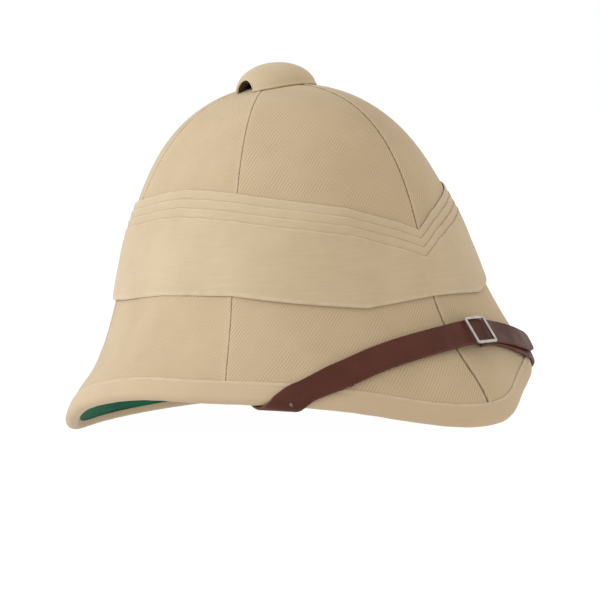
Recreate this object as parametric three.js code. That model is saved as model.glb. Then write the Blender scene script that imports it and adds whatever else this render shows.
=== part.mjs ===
// Pith helmet in the form that stands on its front peak and rear brim. Millimetres.
// +X is the front, +Z is up, the floor is z = 0, and the wearer's right is -Y.
import * as THREE from 'three';
import { mergeVertices } from 'three/addons/utils/BufferGeometryUtils.js';

const DEG = Math.PI / 180;

// Driving dimensions
const CROWN_BASE = 78;        // height where the crown ends and the brim begins
const CROWN_TOP = 211;        // height of the crown under the button
const DOME_HANDLE = 0.546;    // how far the brim leaves along the crown's lean
const FLARE_HANDLE = 0.355;   // how far the brim arrives along its flare
const GAP = 0.3;              // clearance between neighbouring pieces
const PANEL = 1.0;            // thickness of the cloth cover
const CORE = 4.5;             // thickness of the pith
const LINING = 1.0;           // thickness of the lining
const BINDING = 1.8;          // thickness of the binding, cloth over cord
const BINDING_RISE = 8;       // height of the binding above the roll, on the outside
const SEAM = 0.4;             // width of the slit between two panels
const SEAM_SIDE = 60;         // angle of the side seams from the front, a multiple of 7.5
const SEAM_REAR = 135;        // angle of the rear seams
const BUTTON_RADIUS = 25.5;
const BUTTON_HEIGHT = 18.8;
const BUTTON_WALL = 5;
const VENT_HEIGHT = 8.5;      // arched vents in the button
const VENT_AT = 98;           // angle of each vent from the front
const VENT_HALF_ANGLE = 20;
const BUTTON_FORWARD = 2.5;   // the button sits a little forward of the seams' meeting point
const BUTTON_HOLE = 14;       // radius where the panels end under the button
const PLEAT = 5.5;            // spacing of the pleats down the puggaree
const PLEAT_STEP = 0.4;       // how far each pleat stands over the one above
const STRAP_THICK = 2.2;
const SLIDE = { along: 19, across: 18.8, bar: 1.8, thick: 1.6 };
const STUD_RADIUS = 1.2;

// Half sections of the helmet by angle from the front, mirrored left to right.
// crown: radius at the crown base; lean: run per rise there; top and hip: fullness of the dome
// at the apex and above the crown base; rim, low: outermost radius and lowest height of the
// rolled rim; flare: slope of the brim at the rim, in degrees below level
const SECTIONS = [
  { angle: 0, crown: 125, lean: 0.37, top: 0.97, hip: 0.23, rim: 168, low: -0.4, flare: 74 },
  { angle: 15, crown: 125, lean: 0.378, top: 0.925, hip: 0.227, rim: 157.2, low: 5.3, flare: 73.7 },
  { angle: 30, crown: 124.5, lean: 0.4, top: 0.828, hip: 0.22, rim: 151, low: 15.6, flare: 73 },
  { angle: 45, crown: 122.6, lean: 0.43, top: 0.738, hip: 0.213, rim: 146.2, low: 22, flare: 72.4 },
  { angle: 60, crown: 119, lean: 0.46, top: 0.678, hip: 0.21, rim: 143.3, low: 25.5, flare: 72 },
  { angle: 75, crown: 113.6, lean: 0.478, top: 0.64, hip: 0.209, rim: 142, low: 28, flare: 71.3 },
  { angle: 90, crown: 108, lean: 0.47, top: 0.62, hip: 0.21, rim: 141, low: 28, flare: 70 },
  { angle: 105, crown: 104.8, lean: 0.436, top: 0.634, hip: 0.217, rim: 142.7, low: 23.4, flare: 68.4 },
  { angle: 120, crown: 106, lean: 0.39, top: 0.68, hip: 0.23, rim: 145.4, low: 14.4, flare: 67 },
  { angle: 135, crown: 110.9, lean: 0.343, top: 0.742, hip: 0.246, rim: 148.2, low: 3, flare: 65.9 },
  { angle: 150, crown: 117, lean: 0.3, top: 0.8, hip: 0.26, rim: 148.5, low: -0.4, flare: 65 },
  { angle: 165, crown: 121.4, lean: 0.264, top: 0.85, hip: 0.268, rim: 147.8, low: -0.6, flare: 64.3 },
  { angle: 180, crown: 123, lean: 0.25, top: 0.87, hip: 0.27, rim: 148, low: -0.4, flare: 64 },
];

// Heights of the puggaree's edges by angle from the front: its upper edge on the right and on the
// left, and its lower edge on both sides
const PUGGAREE = [
  { angle: 0, right: 116, left: 116, lower: 76 },
  { angle: 7.5, right: 122, left: 125.5, lower: 75.5 },
  { angle: 15, right: 127, left: 131.5, lower: 74.5 },
  { angle: 22.5, right: 132.5, left: 136, lower: 73.5 },
  { angle: 37.5, right: 138.5, left: 141.5, lower: 78.5 },
  { angle: 60, right: 146, left: 146.5, lower: 86.5 },
  { angle: 75, right: 148.8, left: 148.8, lower: 87.7 },
  { angle: 90, right: 149.8, left: 149.8, lower: 87.7 },
  { angle: 105, right: 148.8, left: 148.8, lower: 86 },
  { angle: 120, right: 146.5, left: 146.5, lower: 83.7 },
  { angle: 150, right: 142, left: 142, lower: 81 },
  { angle: 180, right: 140, left: 140, lower: 80 },
];

// Strap paths: angle from the front, positive on the wearer's right; run: distance up the wall
// from the rim's roll, negative round the roll and up the inside; lift: clearance off the wall;
// width: the leather narrows towards the rim, and where the two straps overlap
const STRAP_RIGHT = [
  { angle: 57.5, run: -26, lift: 0.5, width: 14.2 },
  { angle: 53.2, run: -17.5, lift: 0.5, width: 14.2 },
  { angle: 48.8, run: -9, lift: 0.5, width: 14.2 },
  { angle: 44.5, run: -1.6, lift: 0.5, width: 14.4 },
  { angle: 40.3, run: 5, lift: 0.5, width: 15.2 },
  { angle: 36.8, run: 9.8, lift: 0.5, width: 15.9 },
  { angle: 32.8, run: 15.6, lift: 0.5, width: 16.2 },
  { angle: 28.6, run: 21.8, lift: 0.5, width: 16.2 },
  { angle: 24.3, run: 28.2, lift: 0.5, width: 16.2 },
  { angle: 19.6, run: 34.8, lift: 0.6, width: 16.2 },
  { angle: 14.9, run: 41.2, lift: 0.8, width: 16.2 },
  { angle: 10, run: 47.4, lift: 1.1, width: 16.2 },
  { angle: 4.4, run: 52.8, lift: 1.6, width: 16.2 },
  { angle: -1.2, run: 54.6, lift: 2.5, width: 16.2 },
  { angle: -6.5, run: 52.2, lift: 3.4, width: 16.2 },
  { angle: -12, run: 46.2, lift: 3.5, width: 15.4 },
  { angle: -17.2, run: 39, lift: 3.3, width: 14.5 },
  { angle: -22, run: 32.2, lift: 3.2, width: 14.3 },
  { angle: -26.6, run: 25.7, lift: 3.2, width: 14.2 },
  { angle: -31, run: 19.4, lift: 3.2, width: 14 },
  { angle: -36, run: 12.6, lift: 3.2, width: 14 },
  { angle: -39.5, run: 8, lift: 3.2, width: 14 },
];
const STRAP_LEFT = [
  { angle: -57.5, run: -26, lift: 0.5, width: 14.2 },
  { angle: -53.2, run: -17.5, lift: 0.5, width: 14.2 },
  { angle: -48.8, run: -9, lift: 0.6, width: 14.2 },
  { angle: -44.5, run: -1.6, lift: 0.6, width: 14.4 },
  { angle: -40.3, run: 5, lift: 0.6, width: 15.2 },
  { angle: -36.6, run: 9.8, lift: 0.5, width: 15.9 },
  { angle: -32.4, run: 15.6, lift: 0.5, width: 16.2 },
  { angle: -28.4, run: 21.8, lift: 0.5, width: 16 },
  { angle: -24.2, run: 28.3, lift: 0.5, width: 15.6 },
  { angle: -19.6, run: 35.2, lift: 0.5, width: 15.2 },
  { angle: -14.9, run: 42, lift: 0.5, width: 15 },
  { angle: -10.5, run: 47, lift: 0.5, width: 15 },
  { angle: -7.5, run: 49.5, lift: 0.5, width: 15 },
];
const SLIDE_AT = { angle: -7.5, run: 50.5, lift: 7.7, turn: -3.5, tilt: -2, tip: 3.5 };
const STUD_AT = { angle: 44.2, run: -2.4 };

const COLOURS = {
  pith: 0x9a8465, twill: 0xcdb28c, band: 0xd2b893, binding: 0xc9ad86,
  lining: 0x1f5a43, leather: 0x452620, metal: 0xc4c4c8,
};

// Offsets of the layers from the outer face of the panels
const CORE_OUT = -PANEL - GAP;
const CORE_IN = CORE_OUT - CORE;
const MIDDLE = (CORE_OUT + CORE_IN) / 2;
const ROLL_IN = CORE / 2 + GAP;
const ROLL_OUT = ROLL_IN + BINDING;
const PROUD = MIDDLE + ROLL_OUT;

/** A smooth even function of the angle through one column of the section table. */
function column(name) {
  const n = SECTIONS.length - 1;
  const half = (i) => (i === 0 || i === n ? 0.5 : 1);
  const waves = SECTIONS.map((_, k) => {
    const sum = SECTIONS.reduce((s, row, j) => s + half(j) * row[name] * Math.cos(Math.PI * k * j / n), 0);
    return half(k) * 2 / n * sum;
  });
  return (angle) => waves.reduce((s, a, k) => s + a * Math.cos(k * angle), 0);
}

const crown = column('crown');
const lean = column('lean');
const top = column('top');
const hip = column('hip');
const rim = column('rim');
const low = column('low');
const flare = column('flare');

/** Radius and height of the cover's outer face: s from 0 at the apex, 1 at the crown base, to 2 at the rim. */
function section(angle, s) {
  const r = crown(angle);
  const slope = lean(angle);
  const rise = CROWN_TOP - CROWN_BASE;
  const fall = flare(angle) * DEG;
  const base = new THREE.Vector2(r, CROWN_BASE);
  if (s <= 1) {
    const apex = new THREE.Vector2(0, CROWN_TOP);
    const shoulder = new THREE.Vector2(top(angle) * r, CROWN_TOP);
    const waist = new THREE.Vector2(r - slope * hip(angle) * rise, CROWN_BASE + hip(angle) * rise);
    return new THREE.CubicBezierCurve(apex, shoulder, waist, base).getPoint(s);
  }
  const end = new THREE.Vector2(
    rim(angle) - ROLL_OUT - MIDDLE * Math.sin(fall),
    Math.max(low(angle), -0.4) + ROLL_OUT - MIDDLE * Math.cos(fall),
  );
  const reach = base.distanceTo(end);
  const leave = new THREE.Vector2(r + slope * DOME_HANDLE * reach, CROWN_BASE - DOME_HANDLE * reach);
  const arrive = new THREE.Vector2(
    end.x - FLARE_HANDLE * reach * Math.cos(fall),
    end.y + FLARE_HANDLE * reach * Math.sin(fall),
  );
  return new THREE.CubicBezierCurve(base, leave, arrive, end).getPoint(s - 1);
}

/** Point of the cover's outer face. Positive angles turn from the front to the wearer's right. */
function face(angle, s) {
  const p = section(angle, s);
  return new THREE.Vector3(p.x * Math.cos(angle), -p.x * Math.sin(angle), p.y);
}

/** Point, outward normal and downward tangent of the outer face. */
function frame(angle, s) {
  const step = 1e-3;
  const point = face(angle, s);
  const a = Math.max(s - step, 0);
  const b = Math.min(s + step, 2);
  const down = face(angle, b).sub(face(angle, a)).normalize();
  if (s < step) return { point, normal: new THREE.Vector3(0, 0, 1), down };
  const round = face(angle + step, s).sub(face(angle - step, s));
  const normal = round.cross(down).normalize();
  return { point, normal, down };
}

/** Point at a distance from the outer face: negative is into the wall. */
function layer(angle, s, offset) {
  const { point, normal } = frame(angle, s);
  return point.addScaledVector(normal, offset);
}

/** Point round the rolled rim: turn 0 is the outside, 180 the inside. */
function roll(angle, turn, radius) {
  const { point, normal, down } = frame(angle, 2);
  const centre = point.addScaledVector(normal, MIDDLE);
  return centre
    .addScaledVector(normal, radius * Math.cos(turn * DEG))
    .addScaledVector(down, radius * Math.sin(turn * DEG));
}

/** Section parameter at a distance up the wall from the rim. */
function climb(angle, distance) {
  const step = 0.01;
  let left = distance;
  let s = 2;
  let p = section(angle, s);
  while (s > step) {
    const q = section(angle, s - step);
    const length = p.distanceTo(q);
    if (length >= left) return s - step * left / length;
    left -= length;
    s -= step;
    p = q;
  }
  return s;
}

/** Section parameter at a height on the outer face. */
function atHeight(angle, height) {
  let a = 0;
  let b = 2;
  for (let i = 0; i < 40; i += 1) {
    const mid = (a + b) / 2;
    if (section(angle, mid).y > height) a = mid;
    else b = mid;
  }
  return (a + b) / 2;
}

/** Straight interpolation in a table whose rows have rising angles, in degrees. */
function between(table, name, angle) {
  const i = Math.max(1, table.findIndex((row) => row.angle >= angle - 1e-6));
  const t = (angle - table[i - 1].angle) / (table[i].angle - table[i - 1].angle);
  return THREE.MathUtils.lerp(table[i - 1][name], table[i][name], t);
}

/** Heights of the puggaree's upper and lower edges. */
function edges(angle) {
  const a = angle / DEG;
  const [side, off] = a > 180 ? ['left', 360 - a] : ['right', a];
  return { upper: between(PUGGAREE, side, off), lower: between(PUGGAREE, 'lower', off) };
}

/** Closed solid from profiles of equal length: each is joined to the next. */
function loft(profiles, { ring, loop }) {
  const n = profiles[0].length;
  const index = [];
  const id = (i, j) => (i % profiles.length) * n + (j % n);
  const quad = (a, b, c, d) => index.push(a, b, c, a, c, d);
  const rows = ring ? profiles.length : profiles.length - 1;
  const columns = loop ? n : n - 1;
  for (let i = 0; i < rows; i += 1) {
    for (let j = 0; j < columns; j += 1) {
      quad(id(i, j), id(i + 1, j), id(i + 1, j + 1), id(i, j + 1));
    }
  }
  if (!ring) {
    const last = profiles.length - 1;
    for (let j = 0; j < n / 2 - 1; j += 1) {
      quad(id(0, j), id(0, j + 1), id(0, n - 2 - j), id(0, n - 1 - j));
      quad(id(last, n - 1 - j), id(last, n - 2 - j), id(last, j + 1), id(last, j));
    }
  }
  return solid(profiles.flat(), index);
}

/** Welded geometry with no collapsed triangles and with its faces outward. */
function solid(points, index) {
  const raw = new THREE.BufferGeometry();
  raw.setAttribute('position', new THREE.Float32BufferAttribute(points.flatMap((p) => [p.x, p.y, p.z]), 3));
  raw.setIndex(index);
  const geometry = mergeVertices(raw, 1e-4);
  const position = geometry.attributes.position;
  const at = (i) => new THREE.Vector3().fromBufferAttribute(position, i);
  const kept = [];
  let volume = 0;
  for (let i = 0; i < geometry.index.count; i += 3) {
    const [a, b, c] = [0, 1, 2].map((k) => geometry.index.getX(i + k));
    if (a === b || b === c || c === a) continue;
    kept.push(a, b, c);
    volume += at(a).dot(at(b).cross(at(c)));
  }
  if (volume < 0) kept.reverse();
  geometry.setIndex(kept);
  geometry.computeVertexNormals();
  return geometry;
}

const AROUND = Array.from({ length: 48 }, (_, i) => i * 7.5 * DEG);
const DOME = [0.14, 0.28, 0.42, 0.56, 0.7, 0.85, 1];
const BRIM = [1.2, 1.4, 1.6];
const hem = (angle) => climb(angle, BINDING_RISE);

/** The pith: the crown and brim in one wall with a rounded edge. */
function shell() {
  const profile = (angle) => {
    const levels = [0, ...DOME, ...BRIM, hem(angle)];
    return [
      ...levels.map((s) => layer(angle, s, CORE_OUT)),
      ...[0, 45, 90, 135, 180].map((turn) => roll(angle, turn, CORE / 2)),
      ...levels.reverse().map((s) => layer(angle, s, CORE_IN)),
    ];
  };
  return loft(AROUND.map(profile), { ring: true, loop: false });
}

/** The lining: one skin on the inside of the pith, down to the binding. */
function lining() {
  const profile = (angle) => {
    const levels = [0, ...DOME, ...BRIM, hem(angle), climb(angle, 0.6)];
    return [
      ...levels.map((s) => layer(angle, s, CORE_IN - GAP - LINING)),
      ...levels.reverse().map((s) => layer(angle, s, CORE_IN - GAP)),
    ];
  };
  return loft(AROUND.map(profile), { ring: true, loop: false });
}

/** One gore of the cover between two seams, from the button down to the binding. */
function panel(start, end) {
  const steps = (end - start) / 7.5;
  const profiles = Array.from({ length: steps + 1 }, (_, i) => {
    const inset = { 0: 1, [steps]: -1 }[i] ?? 0;
    const angle = (start + i * 7.5) * DEG;
    const levels = [atRadius(angle, BUTTON_HOLE), ...DOME, ...BRIM, climb(angle, BINDING_RISE + GAP)];
    const shifted = (s, offset) => {
      const slit = inset * SEAM / 2 / section(angle, s).x;
      return layer(angle + slit, s, offset);
    };
    return [
      ...levels.map((s) => shifted(s, -PANEL)),
      ...levels.reverse().map((s) => shifted(s, 0)),
    ];
  });
  return loft(profiles, { ring: false, loop: true });
}

/** The binding: cloth rolled round the rim, pressed flat where the helmet stands. */
function rimBinding() {
  const stand = (p) => p.setZ(Math.max(p.z, 0));
  const profile = (angle) => {
    const rise = [hem(angle), climb(angle, BINDING_RISE / 2)];
    return [
      ...rise.map((s) => layer(angle, s, PROUD)),
      ...[0, 30, 60, 85, 110, 140, 180].map((turn) => stand(roll(angle, turn, ROLL_OUT))),
      ...[180, 135, 90, 45, 0].map((turn) => roll(angle, turn, ROLL_IN)),
      ...rise.reverse().map((s) => layer(angle, s, -PANEL)),
    ];
  };
  return loft(AROUND.map(profile), { ring: true, loop: true });
}

/** The puggaree: each pleat stands over the one above, and the broad band hangs below. */
function puggaree() {
  const inner = 0.5;
  const first = 1.2;
  const profile = (angle) => {
    const { upper, lower } = edges(angle);
    const pleats = [0, 1, 2, 3].flatMap((k) => [
      { height: upper - k * PLEAT, offset: first + k * PLEAT_STEP },
      { height: upper - (k + 1) * PLEAT + 0.4, offset: first + k * PLEAT_STEP },
    ]);
    pleats.pop();
    const full = pleats[pleats.length - 1];
    const band = [0.25, 0.5, 0.75, 1].map((t) => ({
      height: THREE.MathUtils.lerp(full.height, lower, t),
      offset: full.offset - (t === 1 ? 0.8 : 0),
    }));
    const back = [1, 0.8, 0.6, 0.4, 0.2, 0].map((t) => ({
      height: THREE.MathUtils.lerp(upper, lower, t),
      offset: inner,
    }));
    return [...pleats, ...band, ...back].map((q) => layer(angle, atHeight(angle, q.height), q.offset));
  };
  return loft(AROUND.map(profile), { ring: true, loop: true });
}

/** The button: a hollow dome on the crown with an arched vent at each side. */
function topButton() {
  const inside = BUTTON_RADIUS - BUTTON_WALL;
  const seat = (angle, radius) => {
    const x = BUTTON_FORWARD + radius * Math.cos(angle);
    const y = radius * Math.sin(angle);
    const bearing = Math.atan2(y, x);
    return section(bearing, atRadius(bearing, Math.hypot(x, y))).y + GAP;
  };
  const floor = Math.min(...AROUND.map((angle) => seat(angle, BUTTON_RADIUS)));
  const arch = (angle) => {
    const near = [VENT_AT, 360 - VENT_AT].map((vent) => Math.abs(angle / DEG - vent) / VENT_HALF_ANGLE);
    const off = Math.min(...near);
    return off < 1 ? VENT_HEIGHT * Math.sqrt(1 - off * off) : 0;
  };
  const dome = (angle, height, radius, tall) => {
    const r = radius * Math.sqrt(Math.max(0, 1 - (height / tall) ** 2.2));
    return new THREE.Vector3(r * Math.cos(angle), -r * Math.sin(angle), floor + height);
  };
  const profile = (angle) => {
    const foot = (radius) => Math.max(seat(angle, radius) - floor, arch(angle));
    const outer = [0, 0.25, 0.5, 0.75, 0.92, 1].map((t) => {
      const height = THREE.MathUtils.lerp(foot(BUTTON_RADIUS), BUTTON_HEIGHT, t);
      return dome(angle, height, BUTTON_RADIUS, BUTTON_HEIGHT);
    });
    const tall = BUTTON_HEIGHT - BUTTON_WALL;
    const inner = [1, 0.85, 0.5, 0].map((t) => {
      const height = THREE.MathUtils.lerp(foot(inside), tall, t);
      return dome(angle, height, inside, tall);
    });
    return [...inner, ...outer];
  };
  const fine = Array.from({ length: 60 }, (_, i) => i * 6 * DEG);
  return loft(fine.map(profile), { ring: true, loop: false }).translate(BUTTON_FORWARD, 0, 0);
}

/** Section parameter at a radius on the crown. */
function atRadius(angle, radius) {
  let s = 0;
  while (section(angle, s).x < radius) s += 0.0005;
  return s;
}

/** Point on the wall as a strap follows it, outside, round the rim and up the inside. */
function wrapped(angle, run, lift) {
  const turn = -run / ROLL_OUT / DEG;
  if (turn <= 0) return layer(angle, climb(angle, run), PROUD + lift);
  if (turn <= 180) return roll(angle, turn, ROLL_OUT + lift);
  return layer(angle, climb(angle, -run - Math.PI * ROLL_OUT), MIDDLE - ROLL_OUT - lift);
}

/** A leather strap along a path on the wall. Near the rim its crosswise lines lie along the rim. */
function strap(rows, count, roundEnd) {
  const arc = 140 * DEG;
  const curve = new THREE.CatmullRomCurve3(
    rows.map((row) => new THREE.Vector3(row.angle * arc, row.run, row.lift)), false, 'centripetal',
  );
  const widths = rows.map(({ angle, width }) => ({ angle, width }));
  if (widths[0].angle > widths[1].angle) widths.reverse();
  const place = (x, run, lift) => wrapped(x / arc * DEG, run, lift);
  const step = 0.01;
  const profiles = Array.from({ length: count + 1 }, (_, i) => {
    const t = i / count;
    const p = curve.getPointAt(t);
    const round = place(p.x + step, p.y, p.z).sub(place(p.x - step, p.y, p.z)).divideScalar(2 * step);
    const up = place(p.x, p.y + step, p.z).sub(place(p.x, p.y - step, p.z)).divideScalar(2 * step);
    const inSpace = (v) => round.clone().multiplyScalar(v.x).addScaledVector(up, v.y);
    const scaled = (v) => v.divideScalar(inSpace(v).length());
    const along = inSpace(curve.getTangentAt(t)).normalize();
    const square = scaled(new THREE.Vector2(-up.dot(along), round.dot(along)));
    const level = scaled(new THREE.Vector2(Math.sign(square.x) || 1, 0));
    const across = scaled(level.lerp(square, THREE.MathUtils.smoothstep(p.y, 9, 20)));
    const slant = inSpace(across).cross(along).length();
    const left = (1 - t) * curve.getLength();
    const taper = roundEnd && left < 6 ? Math.sqrt(1 - (1 - left / 6) ** 2 * 0.75) : 1;
    const half = taper * between(widths, 'width', p.x / arc) / 2 / slant;
    const spot = (k, lift) => place(p.x + across.x * half * k, p.y + across.y * half * k, lift);
    return [
      ...[-1, 0, 1].map((k) => spot(k, p.z + STRAP_THICK)),
      ...[1, 0, -1].map((k) => spot(k, p.z)),
    ];
  });
  return loft(profiles, { ring: false, loop: true });
}

/** Position on the wall, or round its rim, with axes along the strap, across it and outward. */
function station({ angle, run, lift }) {
  const a = angle * DEG;
  const turn = Math.max(-run, 0) / ROLL_OUT;
  const s = climb(a, Math.max(run, 0));
  const { normal, down } = frame(a, s);
  const outward = normal.clone().multiplyScalar(Math.cos(turn)).addScaledVector(down, Math.sin(turn));
  const along = normal.clone().cross(down).normalize();
  const across = outward.clone().cross(along).normalize();
  const matrix = new THREE.Matrix4().makeBasis(along, across, outward);
  return matrix.setPosition(turn > 0 ? roll(a, turn / DEG, lift - MIDDLE) : layer(a, s, lift));
}

/** The slide: a flat rectangular frame that lies on the strap. */
function strapSlide() {
  const box = (x, y, r) => {
    const points = [[x, y, 0], [-x, y, 90], [-x, -y, 180], [x, -y, 270]].flatMap(([cx, cy, turn]) => (
      [0, 45, 90].map((step) => new THREE.Vector2(
        cx - Math.sign(cx) * r + r * Math.cos((turn + step) * DEG),
        cy - Math.sign(cy) * r + r * Math.sin((turn + step) * DEG),
      ))));
    return points;
  };
  const shape = new THREE.Shape(box(SLIDE.along / 2, SLIDE.across / 2, 2));
  shape.holes.push(new THREE.Path(box(SLIDE.along / 2 - SLIDE.bar, SLIDE.across / 2 - SLIDE.bar, 0.8)));
  const plate = new THREE.ExtrudeGeometry(shape, { depth: SLIDE.thick, bevelEnabled: false });
  plate.deleteAttribute('normal');
  plate.deleteAttribute('uv');
  plate.rotateY(SLIDE_AT.tilt * DEG);
  plate.rotateX(-SLIDE_AT.tip * DEG);
  plate.rotateZ(SLIDE_AT.turn * DEG);
  plate.applyMatrix4(station(SLIDE_AT));
  return mergeVertices(plate, 1e-4);
}

/** A stud: a small domed head on the strap. */
function strapStud(side) {
  const dome = [[0, 0], [1, 0], [1, 0.25], [0.8, 0.6], [0.45, 0.82], [0, 0.9]];
  const profile = dome.map(([x, y]) => new THREE.Vector2(x * STUD_RADIUS, y * STUD_RADIUS));
  const head = new THREE.LatheGeometry(profile, 16);
  head.deleteAttribute('normal');
  head.deleteAttribute('uv');
  head.rotateX(90 * DEG);
  const lift = PROUD + 0.5 + STRAP_THICK + GAP;
  head.applyMatrix4(station({ angle: side * STUD_AT.angle, run: STUD_AT.run, lift }));
  const position = head.attributes.position;
  const points = Array.from({ length: position.count }, (_, i) => new THREE.Vector3().fromBufferAttribute(position, i));
  return solid(points, Array.from(head.index.array));
}

const PIECES = [
  { name: 'shell', geometry: shell(), colour: COLOURS.pith },
  { name: 'lining', geometry: lining(), colour: COLOURS.lining },
  { name: 'panel_front_right', geometry: panel(0, SEAM_SIDE), colour: COLOURS.twill },
  { name: 'panel_side_right', geometry: panel(SEAM_SIDE, SEAM_REAR), colour: COLOURS.twill },
  { name: 'panel_rear_right', geometry: panel(SEAM_REAR, 180), colour: COLOURS.twill },
  { name: 'panel_rear_left', geometry: panel(180, 360 - SEAM_REAR), colour: COLOURS.twill },
  { name: 'panel_side_left', geometry: panel(360 - SEAM_REAR, 360 - SEAM_SIDE), colour: COLOURS.twill },
  { name: 'panel_front_left', geometry: panel(360 - SEAM_SIDE, 360), colour: COLOURS.twill },
  { name: 'rim_binding', geometry: rimBinding(), colour: COLOURS.binding },
  { name: 'puggaree', geometry: puggaree(), colour: COLOURS.band },
  { name: 'top_button', geometry: topButton(), colour: COLOURS.twill },
  { name: 'chin_strap_right', geometry: strap(STRAP_RIGHT, 52, true), colour: COLOURS.leather },
  { name: 'chin_strap_left', geometry: strap(STRAP_LEFT, 28, false), colour: COLOURS.leather },
  { name: 'strap_slide', geometry: strapSlide(), colour: COLOURS.metal, metal: 1 },
  { name: 'strap_stud_right', geometry: strapStud(1), colour: COLOURS.metal, metal: 1 },
  { name: 'strap_stud_left', geometry: strapStud(-1), colour: COLOURS.metal, metal: 1 },
];

const helmet = new THREE.Group();
for (const { name, geometry, colour, metal = 0 } of PIECES) {
  const material = new THREE.MeshStandardMaterial({ color: colour, roughness: metal ? 0.35 : 0.85, metalness: metal });
  const mesh = new THREE.Mesh(geometry, material);
  mesh.name = name;
  helmet.add(mesh);
}

// The origin is under the middle of the helmet's length
const size = new THREE.Box3().setFromObject(helmet);
helmet.position.x = -(size.min.x + size.max.x) / 2;
export default helmet;
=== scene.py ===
# %% [markdown]
# # A pith helmet, piece by piece
# A pith helmet is a light wall of pith, covered outside with six gores of cotton twill, lined with
# green cotton, bound at the rim, and dressed with a pleated band of cloth and a leather chin strap.
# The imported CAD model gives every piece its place, so it is loaded first and nothing in it moves.
# Front is +X, up is +Z, and the floor is z = 0. Shapes are worked out in millimetres with numpy,
# and go into Blender in metres.

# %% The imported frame
import math

import bmesh
import bpy
import numpy as np
from mathutils import Matrix, Vector


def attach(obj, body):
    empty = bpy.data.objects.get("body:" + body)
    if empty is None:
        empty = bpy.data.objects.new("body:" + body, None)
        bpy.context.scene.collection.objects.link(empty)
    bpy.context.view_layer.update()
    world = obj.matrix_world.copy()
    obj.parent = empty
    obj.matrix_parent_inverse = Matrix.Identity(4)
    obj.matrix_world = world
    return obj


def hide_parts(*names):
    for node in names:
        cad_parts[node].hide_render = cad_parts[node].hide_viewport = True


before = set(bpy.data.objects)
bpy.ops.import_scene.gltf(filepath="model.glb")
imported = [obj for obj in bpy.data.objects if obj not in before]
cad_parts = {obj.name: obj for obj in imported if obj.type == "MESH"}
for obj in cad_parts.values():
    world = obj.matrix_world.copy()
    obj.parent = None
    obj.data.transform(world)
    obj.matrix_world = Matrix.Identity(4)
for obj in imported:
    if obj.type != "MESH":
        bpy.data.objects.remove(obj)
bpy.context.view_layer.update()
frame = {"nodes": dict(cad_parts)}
scene = bpy.context.scene

# %% [markdown]
# ## The camera
# The helmet is seen from its right front, a little above the rim, through a long lens. The picture
# is also turned a few degrees, which lifts its right side. A camera could be aimed by a constraint,
# but three axes worked out here say exactly where it looks, and the turn is part of them.

# %% Camera at the viewing angle
AZIMUTH = math.radians(47.144)
ELEVATION = math.radians(3.743)
ROLL = math.radians(4.454)
DISTANCE = 1.6
PIXELS_PER_METRE = 1580
FRAME_PIXELS = 600
AIM = Vector((-0.009941, 0, 0.078))
AIM_PIXEL = (289.533, 294.354)


def add_object(name, data):
    """Puts a mesh, a lamp or a camera into the scene as an object."""
    made = bpy.data.objects.new(name, data)
    scene.collection.objects.link(made)
    return made


camera_level = Vector((math.cos(AZIMUTH), math.sin(AZIMUTH), 0))
camera_back = Vector((math.sin(AZIMUTH) * math.cos(ELEVATION), -math.cos(AZIMUTH) * math.cos(ELEVATION),
                      math.sin(ELEVATION)))
upward = camera_back.cross(camera_level)
camera_x = camera_level * math.cos(ROLL) - upward * math.sin(ROLL)
camera_y = camera_level * math.sin(ROLL) + upward * math.cos(ROLL)
lens = bpy.data.cameras.new("camera")
lens.sensor_width = 36
lens.lens = PIXELS_PER_METRE * DISTANCE / FRAME_PIXELS * lens.sensor_width
lens.shift_x = (FRAME_PIXELS / 2 - AIM_PIXEL[0]) / FRAME_PIXELS
lens.shift_y = (AIM_PIXEL[1] - FRAME_PIXELS / 2) / FRAME_PIXELS
camera = add_object("camera", lens)
axes = Matrix((camera_x, camera_y, camera_back)).transposed().to_4x4()
camera.matrix_world = Matrix.Translation(AIM + camera_back * DISTANCE) @ axes
bpy.context.scene.camera = camera
print(f"camera: lens {lens.lens:.1f} mm, shift {lens.shift_x:.4f}, {lens.shift_y:.4f}")

# %% [markdown]
# ## The wall that every piece follows
# Pith, cloth, lining and band are layers of one curved wall, so one formula carries them all. A
# turned profile would be simpler, but the helmet is longer than it is wide, and its brim dips to
# the front and the back. So a half section is drawn at thirteen angles from the front to the back.
# Each number in it runs smoothly round the helmet as a sum of cosines, which makes left and right
# alike. The section itself is two cubic Bezier curves, the dome and the brim, that meet at the
# crown's base.

# %% Sections round the helmet
CROWN_AXIS = -9.941         # x of the crown's axis
CROWN_BASE, CROWN_TOP = 78, 211
DOME_HANDLE, FLARE_HANDLE = 0.546, 0.355
GAP, PANEL, CORE, LINING, BINDING = 0.3, 1.0, 4.5, 1.0, 1.8
CORE_OUT = -PANEL - GAP
CORE_IN = CORE_OUT - CORE
MIDDLE = (CORE_OUT + CORE_IN) / 2
ROLL_IN = CORE / 2 + GAP
ROLL_OUT = ROLL_IN + BINDING
PROUD = MIDDLE + ROLL_OUT
LOWEST = -0.4               # the roll reaches this far under the floor before it is pressed flat

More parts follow.
